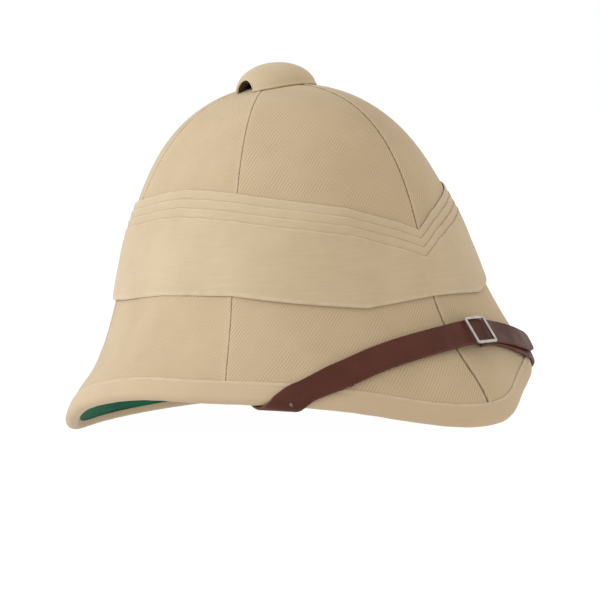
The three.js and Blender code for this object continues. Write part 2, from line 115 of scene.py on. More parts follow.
# One value for every 15 degrees from the front to the back
SECTIONS = {
    # Radius at the crown's base, and the run for each rise there
    "crown": [125, 125, 124.5, 122.6, 119, 113.6, 108, 104.8, 106, 110.9, 117, 121.4, 123],
    "lean": [0.37, 0.378, 0.4, 0.43, 0.46, 0.478, 0.47, 0.436, 0.39, 0.343, 0.3, 0.264, 0.25],
    # Fullness at the apex, and above the crown's base
    "top": [0.97, 0.925, 0.828, 0.738, 0.678, 0.64, 0.62, 0.634, 0.68, 0.742, 0.8, 0.85, 0.87],
    "hip": [0.23, 0.227, 0.22, 0.213, 0.21, 0.209, 0.21, 0.217, 0.23, 0.246, 0.26, 0.268, 0.27],
    # Outermost radius of the rim, its lowest height, and its slope in degrees below level
    "rim": [168, 157.2, 151, 146.2, 143.3, 142, 141, 142.7, 145.4, 148.2, 148.5, 147.8, 148],
    "low": [-0.4, 5.3, 15.6, 22, 25.5, 28, 28, 23.4, 14.4, 3, -0.4, -0.6, -0.4],
    "flare": [74, 73.7, 73, 72.4, 72, 71.3, 70, 68.4, 67, 65.9, 65, 64.3, 64],
}


def cosine_waves(values):
    """Cosine series through values at equal angles: wave k weighs each value by cos(k angle)."""
    last = len(values) - 1
    j = np.arange(last + 1)
    half = np.where((j == 0) | (j == last), 0.5, 1.0)
    return half * 2 / last * (np.cos(np.pi * np.outer(j, j) / last) @ (half * np.array(values)))


WAVES = np.stack([cosine_waves(values) for values in SECTIONS.values()], axis=1)
print("sections:", WAVES.shape[0], "waves of", WAVES.shape[1], "numbers")

# %% The outer face of a section


def bezier(t, a, b, c, d):
    """Cubic Bezier: four handles weighted by (1-t)^3, 3t(1-t)^2, 3t^2(1-t) and t^3."""
    u = 1 - t
    return u ** 3 * a + 3 * u * u * t * b + 3 * u * t * t * c + t ** 3 * d


def section(turn, s):
    """Radius and height of the outer face: s is 0 at the apex, 1 at the crown's base, 2 at the rim."""
    turn, s = np.broadcast_arrays(np.asarray(turn, float), np.asarray(s, float))
    columns = np.cos(turn[..., None] * np.arange(len(WAVES))) @ WAVES
    crown, lean, top, hip, rim, low, flare = np.moveaxis(columns, -1, 0)
    rise = CROWN_TOP - CROWN_BASE
    t = np.clip(s, 0, 1)
    dome_r = bezier(t, 0, top * crown, crown - lean * hip * rise, crown)
    dome_z = bezier(t, CROWN_TOP, CROWN_TOP, CROWN_BASE + hip * rise, CROWN_BASE)
    fall = np.radians(flare)
    end_r = rim - ROLL_OUT - MIDDLE * np.sin(fall)
    end_z = np.maximum(low, LOWEST) + ROLL_OUT - MIDDLE * np.cos(fall)
    reach = np.hypot(end_r - crown, end_z - CROWN_BASE)
    leave, arrive = DOME_HANDLE * reach, FLARE_HANDLE * reach
    t = np.clip(s - 1, 0, 1)
    brim_r = bezier(t, crown, crown + lean * leave, end_r - arrive * np.cos(fall), end_r)
    brim_z = bezier(t, CROWN_BASE, CROWN_BASE - leave, end_z + arrive * np.sin(fall), end_z)
    return np.where(s <= 1, dome_r, brim_r), np.where(s <= 1, dome_z, brim_z)


for degrees in (0, 90, 180):
    radius, height = section(math.radians(degrees), 2.0)
    print(f"section at {degrees}: rim at radius {float(radius):.1f}, height {float(height):.1f} mm")

# %% [markdown]
# A layer is the outer face moved along its normal. A Shrinkwrap modifier could press one mesh on
# another, but a formula gives the exact distance between them. The normal comes from two small
# steps, one round the helmet and one down the section, and their cross product. Under the rim the
# layers bend round a roll, whose centre lies in the middle of the pith.

# %% Points on the wall, in layers and round the rim


def unit(v):
    """Vectors divided by their length."""
    return v / np.linalg.norm(v, axis=-1, keepdims=True)


def face(turn, s):
    """Point of the outer face: the section turned about the crown's axis, clockwise from above."""
    radius, height = section(turn, s)
    return np.stack([CROWN_AXIS + radius * np.cos(turn), -radius * np.sin(turn), height], axis=-1)


def wall_frame(turn, s):
    """Point, outward normal and downward tangent: the normal is round x down."""
    turn, s = np.broadcast_arrays(np.asarray(turn, float), np.asarray(s, float))
    step = 1e-3
    down = unit(face(turn, np.minimum(s + step, 2)) - face(turn, np.maximum(s - step, 0)))
    around = face(turn + step, np.maximum(s, step)) - face(turn - step, np.maximum(s, step))
    normal = unit(np.cross(around, down))
    normal = np.where(s[..., None] < step, np.array([0.0, 0.0, 1.0]), normal)
    return face(turn, s), normal, down


def layer(turn, s, offset):
    """The outer face moved along its normal: a negative offset goes into the wall."""
    point, normal, _ = wall_frame(turn, s)
    return point + normal * np.asarray(offset, float)[..., None]


def rim_roll(turn, degrees, radius):
    """Circle about the rim's centre: 0 degrees is the outside, 90 the bottom, 180 the inside."""
    point, normal, down = wall_frame(turn, 2.0)
    way = np.radians(np.asarray(degrees, float))[..., None]
    radius = np.asarray(radius, float)[..., None]
    return point + normal * MIDDLE + radius * (np.cos(way) * normal + np.sin(way) * down)


print("wall at the front, crown's base:", np.round(layer(0.0, 1.0, 0.0), 2))

# %% [markdown]
# Edges of cloth are given as heights, as distances up from the rim or as radii on the crown. Each
# has to be turned into the section's own measure s. Solving for each point would be slow, so a
# table with a row for every degree is filled once, and later lookups go straight between its four
# nearest entries.

# %% Lookups from height, distance and radius
TABLE_TURNS = np.radians(np.arange(-180, 181))
TABLE_S = np.linspace(2, 0, 401)
table_r, table_z = section(TABLE_TURNS[:, None], TABLE_S[None, :])
table_run = np.cumsum(np.hypot(np.diff(table_r, prepend=table_r[:, :1]),
                               np.diff(table_z, prepend=table_z[:, :1])), axis=1)
# Entries at every half millimetre
RUNS, HEIGHTS, RADII = np.arange(0, 240.5, 0.5), np.arange(0, 211.5, 0.5), np.arange(0, 100.5, 0.5)
dome = TABLE_S <= 1


def inverse_table(values, entries, s):
    """For each angle, s at every entry, by straight interpolation along the section."""
    return np.stack([np.interp(entries, row, s) for row in values])


S_AT_RUN = inverse_table(table_run, RUNS, TABLE_S)
S_AT_HEIGHT = inverse_table(table_z, HEIGHTS, TABLE_S)
S_AT_RADIUS = inverse_table(table_r[:, dome][:, ::-1], RADII, TABLE_S[dome][::-1])


def lookup(table, entries, turn, value):
    """Bilinear value of a table with a row for each degree and a column for each entry."""
    turn, value = np.broadcast_arrays(np.asarray(turn, float), np.asarray(value, float))
    row = (np.degrees(turn) + 180) % 360
    col = np.clip((value - entries[0]) / (entries[1] - entries[0]), 0, len(entries) - 1.001)
    i, j = row.astype(int), col.astype(int)
    a, b = row - i, col - j
    near = table[i, j] * (1 - b) + table[i, j + 1] * b
    far = table[i + 1, j] * (1 - b) + table[i + 1, j + 1] * b
    return near * (1 - a) + far * a


def climb(turn, distance):
    """Section measure at a distance up the wall from the rim."""
    return lookup(S_AT_RUN, RUNS, turn, distance)


def at_height(turn, height):
    """Section measure at a height on the outer face."""
    return lookup(S_AT_HEIGHT, HEIGHTS, turn, height)


def at_radius(turn, radius):
    """Section measure at a radius on the crown."""
    return lookup(S_AT_RADIUS, RADII, turn, radius)


def run_up(turn, s):
    """Distance up the wall from the rim, along the section at one angle."""
    row = int(round(math.degrees(turn) + 180)) % 360
    return np.interp(s, TABLE_S[::-1], table_run[row][::-1])


print("s at height 140 on the side:", round(float(at_height(math.pi / 2, 140)), 3))

# %% [markdown]
# ## From arrays to a piece
# Every piece is one or more grids of points. Faces could be added one by one in bmesh, but whole
# arrays are quicker: neighbouring points become squares, the grids are written into the mesh at
# once, and points that coincide are merged, which closes poles and seams.
# Each piece keeps two things of its own for its finish: a map called cloth, in millimetres along
# and up the material, and a value called edge, which is 1 at folds, hems and cut edges, which wear
# pale, and below zero in a seam's crack and -1 deep inside a hollow, where shade is painted.

# %% Grids into a mesh
MM = 0.001
MERGE = 1e-6
BARE = (np.zeros(2), np.zeros(1))   # the cloth map and edge value of a piece that needs neither


def squares(rows, columns):
    """Corner numbers of the squares of a grid whose points are counted row by row."""
    i = np.arange(rows - 1)[:, None] * columns
    j = np.arange(columns - 1)[None, :]
    return np.stack([i + j, i + columns + j, i + columns + j + 1, i + j + 1], axis=-1).reshape(-1, 4)


def grid_mesh(name, grids):
    """One mesh from grids of (points in mm, cloth map in mm, edge), written as whole arrays."""
    points, cloth, edge, corners, first = [], [], [], [], 0
    for grid, flat, mark in grids:
        rows, columns = grid.shape[:2]
        points.append(grid.reshape(-1, 3))
        cloth.append(np.broadcast_to(flat, (rows, columns, 2)).reshape(-1, 2))
        edge.append(np.broadcast_to(mark, (rows, columns)).reshape(-1))
        corners.append(squares(rows, columns) + first)
        first += rows * columns
    points, corners = np.concatenate(points) * MM, np.concatenate(corners)
    mesh = bpy.data.meshes.new(name)
    mesh.vertices.add(len(points))
    mesh.vertices.foreach_set("co", points.astype(np.float32).ravel())
    mesh.loops.add(corners.size)
    mesh.loops.foreach_set("vertex_index", corners.astype(np.int32).ravel())
    mesh.polygons.add(len(corners))
    mesh.polygons.foreach_set("loop_start", np.arange(0, corners.size, 4, dtype=np.int32))
    mesh.polygons.foreach_set("use_smooth", np.ones(len(corners), bool))
    mesh.update(calc_edges=True)
    flat_map = np.concatenate(cloth)[corners.ravel()]
    mesh.uv_layers.new(name="cloth").data.foreach_set("uv", flat_map.astype(np.float32).ravel())
    mark = mesh.attributes.new("edge", "FLOAT", "POINT")
    mark.data.foreach_set("value", np.concatenate(edge).astype(np.float32))
    return mesh


print("a grid of 3 x 4 points has", len(squares(3, 4)), "squares")

# %% A mesh into a piece of the helmet


def make_piece(name, grids, node_name, material):
    """Closes the mesh of some grids, and lets it stand for a CAD node."""
    mesh = grid_mesh(name, grids)
    mesh.materials.append(material)
    work = bmesh.new()
    work.from_mesh(mesh)
    bmesh.ops.remove_doubles(work, verts=work.verts, dist=MERGE)
    bmesh.ops.recalc_face_normals(work, faces=work.faces)
    open_edges = sum(not e.is_manifold for e in work.edges)
    work.to_mesh(mesh)
    work.free()
    piece = add_object(name, mesh)
    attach(piece, "root")
    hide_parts(node_name)
    triangles = sum(len(p.vertices) - 2 for p in mesh.polygons)
    print(f"{name}: {triangles} triangles, {open_edges} open edges")


def two_sheets(upper, under, flat, edge):
    """The grids of a thin piece: its upper sheet, and its under sheet turned over."""
    return [(upper, flat, edge), (under[:, ::-1], flat[:, ::-1], edge[:, ::-1])]


print("nodes to stand for:", ", ".join(frame["nodes"]))

# %% [markdown]
# ## Finishes
# The same few effects come back in every finish, so each is a node group with named sockets. Weave
# draws threads in the cloth map. Mottle lays broad, soft changes of tone over a colour. Wear and
# shade pales folds and hems, and paints shade into seam cracks and the inside of hollows. Grain is
# the pebbling of leather and the speckle of pith. Nothing here uses a picture, and every pattern is
# tied to the piece, so it holds still from any view.

# %% Helpers for nodes


def tint(red, green, blue):
    """Linear colour from the 0 to 255 values of a colour chart."""
    c = np.array([red, green, blue]) / 255
    linear = np.where(c <= 0.04045, c / 12.92, ((c + 0.055) / 1.055) ** 2.4)
    return (*linear.tolist(), 1.0)


def feed(tree, socket, value):
    """Links a socket from another one, or sets its own value."""
    if isinstance(value, bpy.types.NodeSocket):
        tree.links.new(value, socket)
    else:
        socket.default_value = value


def node(tree, kind, output=0, settings=None, **inputs):
    """Adds a node, gives it settings and inputs by name, and returns one of its outputs."""
    made = tree.nodes.new(kind)
    for name, value in (settings or {}).items():
        setattr(made, name, value)
    for name, value in inputs.items():
        feed(tree, made.inputs[name.replace("_", " ")], value)
    return made.outputs[output]


def calc(tree, operation, *values):
    """A math node on one, two or three values."""
    made = tree.nodes.new("ShaderNodeMath")
    made.operation = operation
    for socket, value in zip(made.inputs, values):
        feed(tree, socket, value)
    return made.outputs[0]


def noise(tree, place, scale, detail, rough=0.5):
    """Soft noise from 0 to 1 over a place, with finer layers for each step of detail."""
    return node(tree, "ShaderNodeTexNoise", Vector=place, Scale=scale, Detail=detail, Roughness=rough)


def remap(tree, value, low, high, new_low=0.0, new_high=1.0):
    """A value carried from one range to another, and cut off at the ends."""
    return node(tree, "ShaderNodeMapRange", Value=value, From_Min=low, From_Max=high, To_Min=new_low,
                To_Max=new_high)


def mix_colour(tree, how, share, a, b):
    """A colour mix of a and b by share."""
    made = tree.nodes.new("ShaderNodeMix")
    made.data_type = "RGBA"
    made.blend_type = how
    feed(tree, made.inputs[0], share)
    feed(tree, made.inputs[6], a)
    feed(tree, made.inputs[7], b)
    return made.outputs[2]


print("half grey of the chart, in linear light:", round(tint(128, 128, 128)[0], 3))

# %% Helpers for node groups
KINDS = {"value": "NodeSocketFloat", "colour": "NodeSocketColor", "vector": "NodeSocketVector"}


def new_group(name, inputs, outputs):
    """A node group with named sockets: returns its tree, its inputs by name and its output node."""
    tree = bpy.data.node_groups.new(name, "ShaderNodeTree")
    for label, kind in inputs.items():
        tree.interface.new_socket(label, in_out="INPUT", socket_type=KINDS[kind])
    for label, kind in outputs.items():
        tree.interface.new_socket(label, in_out="OUTPUT", socket_type=KINDS[kind])
    return tree, tree.nodes.new("NodeGroupInput").outputs, tree.nodes.new("NodeGroupOutput").inputs


def use_group(tree, group, **inputs):
    """Places a group in a material and returns its outputs by name."""
    made = tree.nodes.new("ShaderNodeGroup")
    made.node_tree = group
    for name, value in inputs.items():
        feed(tree, made.inputs[name.replace("_", " ")], value)
    return made.outputs


print("kinds of socket:", ", ".join(KINDS))

# %% Group: weave
weave, given, result = new_group(
    "Weave", {"Cloth": "vector", "Pitch": "value", "Lean": "value", "Cross": "value", "Waver": "value"},
    {"Thread": "value", "Slub": "value"})


def times(a, b):
    """Product of two values in the weave."""
    return calc(weave, "MULTIPLY", a, b)


along = node(weave, "ShaderNodeSeparateXYZ", 0, Vector=given["Cloth"])
up = along.node.outputs[1]
sine = calc(weave, "SINE", given["Lean"])
cosine = calc(weave, "COSINE", given["Lean"])
wander = calc(weave, "SUBTRACT", noise(weave, given["Cloth"], 0.11, 2.0), 0.5)
wander = times(wander, given["Waver"])
ribs = calc(weave, "SUBTRACT", times(along, sine), times(up, cosine))
ribs = calc(weave, "ADD", calc(weave, "DIVIDE", ribs, given["Pitch"]), wander)
picks = calc(weave, "ADD", times(along, cosine), times(up, sine))
picks = calc(weave, "DIVIDE", picks, given["Pitch"])
patch = remap(weave, noise(weave, given["Cloth"], 0.07, 1.0), 0.4, 0.62, 0.22, 0.5)
rib = calc(weave, "MULTIPLY_ADD", calc(weave, "COSINE", times(ribs, math.tau)), patch, 0.5)
pick = calc(weave, "MULTIPLY_ADD", calc(weave, "COSINE", times(picks, math.tau)), 0.5, 0.5)
ribs_share = calc(weave, "SUBTRACT", 1.0, given["Cross"])
feed(weave, result["Thread"], calc(weave, "ADD", times(rib, ribs_share), times(pick, given["Cross"])))
streak = node(weave, "ShaderNodeMapping", Vector=given["Cloth"], Scale=(0.035, 0.9, 1.0))
feed(weave, result["Slub"], noise(weave, streak, 1.0, 3.0))
print("group Weave:", len(weave.nodes), "nodes")

# %% Group: mottle
mottle, given, result = new_group(
    "Mottle", {"Colour": "colour", "Other": "colour", "Place": "vector", "Size": "value",
               "Amount": "value"}, {"Colour": "colour", "Mask": "value"})
scale = calc(mottle, "DIVIDE", 1.0, given["Size"])
cloud = remap(mottle, noise(mottle, given["Place"], scale, 4.0, 0.55), 0.35, 0.68)
share = calc(mottle, "MULTIPLY", cloud, given["Amount"])
feed(mottle, result["Colour"], mix_colour(mottle, "MIX", share, given["Colour"], given["Other"]))
feed(mottle, result["Mask"], cloud)
print("group Mottle:", len(mottle.nodes), "nodes")

# %% Group: wear and painted shade
wear_and_shade, given, result = new_group(
    "Wear and shade", {"Colour": "colour", "Worn": "colour", "Deep": "colour", "Edge": "value",
                  "Place": "vector", "Amount": "value"}, {"Colour": "colour"})
rub = remap(wear_and_shade, noise(wear_and_shade, given["Place"], 160.0, 3.0), 0.25, 0.7)
share = calc(wear_and_shade, "MULTIPLY", calc(wear_and_shade, "MULTIPLY", given["Edge"], rub), given["Amount"])
paled = mix_colour(wear_and_shade, "MIX", share, given["Colour"], given["Worn"])
# Below zero the edge value paints shade: the colour is mixed towards the dark shade colour
inside = calc(wear_and_shade, "MULTIPLY", given["Edge"], -1.0)
feed(wear_and_shade, result["Colour"], mix_colour(wear_and_shade, "MIX", inside, paled, given["Deep"]))
print("group Wear and shade:", len(wear_and_shade.nodes), "nodes")

# %% Group: grain
grain, given, result = new_group(
    "Grain", {"Place": "vector", "Size": "value"}, {"Height": "value", "Pits": "value"})
scale = calc(grain, "DIVIDE", 1.0, given["Size"])
cells = node(grain, "ShaderNodeTexVoronoi", 0, {"feature": "SMOOTH_F1"}, Vector=given["Place"],
             Scale=scale)
pebble = remap(grain, cells, 0.1, 0.75, 1.0, 0.0)
fine = noise(grain, given["Place"], scale, 5.0)
feed(grain, result["Height"], calc(grain, "ADD", calc(grain, "MULTIPLY", pebble, 0.6),
                                   calc(grain, "MULTIPLY", fine, 0.4)))
feed(grain, result["Pits"], remap(grain, fine, 0.62, 0.72))
print("group Grain:", len(grain.nodes), "nodes")

# %% [markdown]
# Cloth is matt, so most of its light comes from the base colour, and a little sheen lifts it where
# it turns away. Four cloths are used: ribbed twill on the gores, a finer and smoother cloth on the
# band and the button, the same on the bias for the binding, and a green plain weave inside.
# They differ only in numbers, so one function makes them from the groups.

# %% A cloth finish
# Dark brown painted shade, mixed into the cracks of the seams and the inside of the button
PAINTED_SHADE = tint(74, 50, 28)


def new_material(name, **constants):
    """A material with its Principled shader: constants go on the shader's own sockets."""
    material = bpy.data.materials.new(name)
    material.use_nodes = True
    shader = material.node_tree.nodes["Principled BSDF"]
    for socket, value in constants.items():
        shader.inputs[socket.replace("_", " ")].default_value = value
    return material, material.node_tree, shader.inputs


def own_place(tree):
    """The piece's own coordinates, in metres."""
    return node(tree, "ShaderNodeTexCoord", 3)


def edge_value(tree):
    """The piece's edge value."""
    return node(tree, "ShaderNodeAttribute", 2, {"attribute_name": "edge"})


def relief(tree, inputs, height, depth):
    """Feeds a height in the range 0 to 1 into the shader's normal, as a bump of that depth in metres."""
    feed(tree, inputs["Normal"], node(tree, "ShaderNodeBump", Height=height, Distance=depth, Strength=1.0))


def cloth_finish(name, colour, shade, worn, pitch, lean, cross, depth, rib_tone, streak_tone, sheen=0.12):
    """Threads darken the colour in their valleys, slubs streak it, mottle and wear soften it, and shade is
    painted where the edge value is below zero.
    """
    material, tree, inputs = new_material(
        name, Specular_IOR_Level=0.2, Sheen_Weight=sheen, Sheen_Roughness=0.45)
    place, edge = own_place(tree), edge_value(tree)
    flat = node(tree, "ShaderNodeUVMap", 0, {"uv_map": "cloth"})
    threads = use_group(tree, weave, Cloth=flat, Pitch=pitch, Lean=math.radians(lean), Cross=cross,
                        Waver=0.35)
    base = use_group(tree, mottle, Colour=colour, Other=shade, Place=place, Size=0.035,
                     Amount=0.35)["Colour"]
    valley = calc(tree, "MULTIPLY", calc(tree, "SUBTRACT", 1.0, threads["Thread"]), rib_tone)
    base = mix_colour(tree, "MULTIPLY", valley, base, shade)
    slub = calc(tree, "MULTIPLY", remap(tree, threads["Slub"], 0.4, 0.75), streak_tone)
    base = mix_colour(tree, "MULTIPLY", slub, base, shade)
    # The dark colour here is painted shade, for seam cracks and hollows
    base = use_group(tree, wear_and_shade, Colour=base, Worn=worn, Deep=PAINTED_SHADE, Edge=edge, Place=place,
                     Amount=0.5)["Colour"]
    feed(tree, inputs["Base Color"], base)
    feed(tree, inputs["Roughness"], calc(tree, "MULTIPLY_ADD", threads["Thread"], -0.12, 0.92))
    relief(tree, inputs, calc(tree, "MULTIPLY_ADD", threads["Slub"], 0.05, threads["Thread"]), depth)
    print("finish:", name)
    return material


print("painted shade, in linear light:", np.round(PAINTED_SHADE[:3], 3))

# %% The four cloths
# Pitch in mm, lean of the ribs in degrees, depth in metres
TAN, TAN_SHADE, TAN_WORN = tint(196, 174, 142), tint(175, 153, 120), tint(210, 192, 161)
twill = cloth_finish("cotton_twill", TAN, TAN_SHADE, TAN_WORN, pitch=1.6, lean=53, cross=0.32,
                     depth=0.0001, rib_tone=0.52, streak_tone=0.03)
band_cloth = cloth_finish("band_cloth", tint(193, 172, 141), TAN_SHADE, TAN_WORN, pitch=0.8, lean=80,
                          cross=0.5, depth=0.00004, rib_tone=0.2, streak_tone=0.08)
binding_cloth = cloth_finish("binding_cloth", tint(189, 166, 136), TAN_SHADE, TAN_WORN, pitch=0.9, lean=45,
                             cross=0.4, depth=0.00004, rib_tone=0.12, streak_tone=0.04)
lining_cloth = cloth_finish("lining_cloth", tint(34, 116, 84), tint(24, 82, 58), tint(56, 128, 98),
                            pitch=0.9, lean=90, cross=0.5, depth=0.0001, rib_tone=0.5, streak_tone=0.3,
                            sheen=0.05)

# %% [markdown]
# Leather takes its look from a fine pebbled grain, a slow change between red and dark brown, and a
# soft shine that breaks up where the grain is deep. The slide is nickel, a little dulled by
# handling, and the studs are a browner metal. Pith is a pale cork, which shows only through the
# button's vents. Pictures of such surfaces would need a map without seams. Noise in the piece's
# own coordinates needs none.

# %% Leather
leather, tree, inputs = new_material("strap_leather", Specular_IOR_Level=0.21)
place = own_place(tree)
hide = use_group(tree, mottle, Colour=tint(80, 37, 22), Other=tint(66, 30, 17), Place=place, Size=0.022,
                 Amount=0.8)
worn_hide = use_group(tree, wear_and_shade, Colour=hide["Colour"], Worn=tint(112, 70, 54),
                      Edge=edge_value(tree), Place=place, Amount=0.55)["Colour"]
pebbles = use_group(tree, grain, Place=place, Size=0.0009)
pitted = calc(tree, "MULTIPLY", pebbles["Pits"], 0.35)
feed(tree, inputs["Base Color"], mix_colour(tree, "MULTIPLY", pitted, worn_hide, tint(110, 80, 70)))
feed(tree, inputs["Roughness"], calc(tree, "MULTIPLY_ADD", hide["Mask"], 0.16, 0.44))
relief(tree, inputs, pebbles["Height"], 0.00008)
print("finish: strap_leather")

# %% Metals and pith


def metal_finish(name, colour, dull, patch, amount, rougher, smoothest):
    """Metal with patches of a duller tone, which are also rougher."""
    material, tree, inputs = new_material(name, Metallic=1.0)
    place = own_place(tree)
    spots = use_group(tree, mottle, Colour=colour, Other=dull, Place=place, Size=patch, Amount=amount)
    feed(tree, inputs["Base Color"], spots["Colour"])
    feed(tree, inputs["Roughness"], calc(tree, "MULTIPLY_ADD", spots["Mask"], rougher, smoothest))
    print("finish:", name)
    return material, tree, inputs, place


nickel, tree, inputs, place = metal_finish("nickel", tint(194, 186, 181), tint(146, 136, 131), 0.004, 0.6,
                                           0.18, 0.22)
relief(tree, inputs, use_group(tree, grain, Place=place, Size=0.0006)["Height"], 0.00001)
dull_metal = metal_finish("dull_metal", tint(122, 103, 94), tint(92, 76, 69), 0.002, 0.7, 0.15, 0.45)[0]

pith, tree, inputs = new_material("pith", Specular_IOR_Level=0.2)
place = own_place(tree)
cork = use_group(tree, mottle, Colour=tint(150, 112, 70), Other=tint(112, 78, 46), Place=place, Size=0.006,
                 Amount=0.8)["Colour"]
specks = use_group(tree, grain, Place=place, Size=0.0022)
feed(tree, inputs["Base Color"], mix_colour(tree, "MULTIPLY", specks["Pits"], cork, tint(190, 170, 150)))
feed(tree, inputs["Roughness"], calc(tree, "MULTIPLY_ADD", specks["Height"], 0.1, 0.82))
relief(tree, inputs, specks["Height"], 0.0001)
print("finish: pith")

# %% [markdown]
# ## The pith wall
# The real wall is pressed from sheets of pith over a block, so it has one smooth face outside, one
# inside, and a rounded edge at the rim. It could be a solid with a Solidify modifier, but offsets
# of the one wall formula keep it exactly between the cover and the lining. Angles are the columns
# of its grid, and numpy spreads them over the rows.

# %% Pith wall
turn = np.radians(np.arange(0, 361, 5))
s = np.concatenate([np.linspace(0, 1, 22), np.linspace(1, 2, 18)[1:]])[:, None]
rim_edge = rim_roll(turn, np.arange(20, 180, 20)[:, None], CORE / 2)
wall = np.concatenate([layer(turn, s, CORE_OUT), rim_edge, layer(turn, s, CORE_IN)[::-1]])
make_piece("pith_wall", [(wall, *BARE)], "shell", pith)

# %% [markdown]
# ## The gores of the cover
# Six gores of twill are stretched over the pith and meet in seams from the button to the rim. At
# each seam one gore laps over the other, so its edge stands up a little and its neighbour's dips
# under it. The front seam is the loosest, and its crack is the deepest. Shade is painted into every
# crack, darkest at the front seam and widest at its foot on the brim. A gore is two sheets, outer
# and inner, which meet all round in a thin rounded edge. Near a seam the cloth also puckers
# slightly, as sewn cloth does. Subdivision would spread its faces evenly. Here the columns of the
# grid crowd towards the seams, where the detail is, at fixed distances from the edge.

# %% Beside a seam
SEAM_SIDE, SEAM_REAR, SEAM_GAP = 60, 135, 0.18
LAP_RISE, LAP_WIDTH = 0.42, 1.7
TUCK_DROP, TUCK_NEAR, TUCK_FAR = 0.25, 0.5, 2.4
SIDE_SEAM_LOOSE = 0.5       # lap of the other seams, as a share of the front one's
WEAR_WIDTH, UNDER_WEAR = 1.1, 0.3
# Widths of the shade painted into a seam's crack: at the front seam, its growth on the brim, and at the
# other seams
CRACK_WIDTH, CRACK_FOOT, SIDE_CRACK_WIDTH = 0.24, 0.46, 0.16


def smooth(x, low, high):
    """0 below low, 1 above high, with a smooth S between."""
    t = np.clip((x - low) / (high - low), 0, 1)
    return t * t * (3 - 2 * t)


def rounded(distance, radius):
    """Share of full thickness at a distance from an edge: a quarter circle of that radius."""
    return np.sqrt(np.clip(1 - (1 - np.clip(distance / radius, 0, 1)) ** 2, 0, 1))


def bell(x, width):
    """1 at 0, falling off on both sides as e to the minus (x / width)^2."""
    return np.exp(-(x / width) ** 2)


def seam_lift(seam, distance, over):
    """Lift beside a seam: the gore that lies over stands up to its edge, the other dips under."""
    loose = 1.0 if seam % 360 == 0 else SIDE_SEAM_LOOSE
    if over:
        return loose * LAP_RISE * (1 - smooth(distance, LAP_WIDTH, 2 * LAP_WIDTH))
    return -loose * TUCK_DROP * (1 - smooth(distance, TUCK_NEAR, TUCK_FAR))


def seam_edge(seam, distance, over, s):
    """Edge value beside a seam: a pale bell of wear, less a bell of painted shade in the crack."""
    wear = (1.0 if over else UNDER_WEAR) * bell(distance, WEAR_WIDTH)
    if seam % 360 == 0:
        return wear - 1.3 * bell(distance, CRACK_WIDTH + CRACK_FOOT * smooth(s, 1.0, 1.25))
    return wear - 0.5 * bell(distance, SIDE_CRACK_WIDTH) * (1 - smooth(s, 0.8, 1.1))


print("lift at the front seam, over and under:", seam_lift(0, 0, True), seam_lift(0, 0, False))

# %% A gore
BUTTON_HOLE = 14            # radius left open under the button
BINDING_RISE = 8            # where the binding's leg begins, up from the rim
EDGE_ROUND = 0.5
EDGE_STEPS = np.array([0, 0.06, 0.16, 0.32, 0.55, 0.9, 1.3, 1.8, 2.4, 3.2, 4.2])
GORE_ROWS = np.concatenate([[0, 0.0015], np.linspace(0.008, 0.99, 110), [0.996, 0.999, 1]])[:, None]
GORE_COLUMNS = np.linspace(0, 1, 32)[1:-1]
PUCKER, PUCKER_REACH, DRAPE = 0.05, 5, 0.12
# The deepest painted shade in a seam's crack, as an edge value
DARKEST = -0.6


def gore(name, node_name, start, end, first_over, last_over):
    """Two sheets between two seams: offset = thickness x rounded edge + lap or dip + puckers."""
    first, last = math.radians(start), math.radians(end)
    centre = (first + last) / 2
    foot = BINDING_RISE + GAP
    bottom = 0.5 * (climb(first, foot) + climb(last, foot))
    top = 0.5 * (at_radius(first, BUTTON_HOLE) + at_radius(last, BUTTON_HOLE))
    s_seam = top + (bottom - top) * GORE_ROWS
    inset = SEAM_GAP / 2 + EDGE_STEPS
    left = first + inset / section(first, s_seam)[0]
    right = (last - inset / section(last, s_seam)[0])[:, ::-1]
    middle = left[:, -1:] + (right[:, :1] - left[:, -1:]) * GORE_COLUMNS
    turn = np.concatenate([left, middle, right], axis=1)
    s_top, s_low = at_radius(turn, BUTTON_HOLE), climb(turn, foot)
    s = s_top + (s_low - s_top) * GORE_ROWS
    radius, run = section(turn, s)[0], run_up(centre, s)
    from_first = (turn - first) * radius - SEAM_GAP / 2
    from_last = (last - turn) * radius - SEAM_GAP / 2
    from_seam = np.minimum(from_first, from_last)
    thin = rounded(np.minimum(from_seam, run - run.min(axis=0)), EDGE_ROUND)
    thin[[0, -1]] = 0
    thin[:, [0, -1]] = 0
    waves = np.sin(run / 1.35 + start) + np.sin(run / 2.3 + 2.0 * start)
    drape = DRAPE * np.sin(run / 17 + 3 * turn + start) * np.sin(5 * turn + run / 31)
    lift = PUCKER * np.exp(-from_seam / PUCKER_REACH) * waves + drape * smooth(from_seam, 2, 12)
    edge = 0
    for seam, distance, over in ((start, from_first, first_over), (end, from_last, last_over)):
        lift = lift + seam_lift(seam, distance, over)
        edge = edge + seam_edge(seam, distance, over, s)
    lift = lift * thin
    outside = layer(turn, s, -PANEL / 2 + thin * PANEL / 2 + lift)
    inside = layer(turn, s, -PANEL / 2 - thin * PANEL / 2 + np.minimum(lift, 0))
    flat = np.stack([-radius * (turn - centre), run], axis=-1)
    sheets = two_sheets(outside, inside, flat, np.maximum(edge, DARKEST))
    make_piece(name, sheets, node_name, twill)


print("a gore's grid:", len(GORE_ROWS), "rows,", 2 * len(EDGE_STEPS) + len(GORE_COLUMNS), "columns")

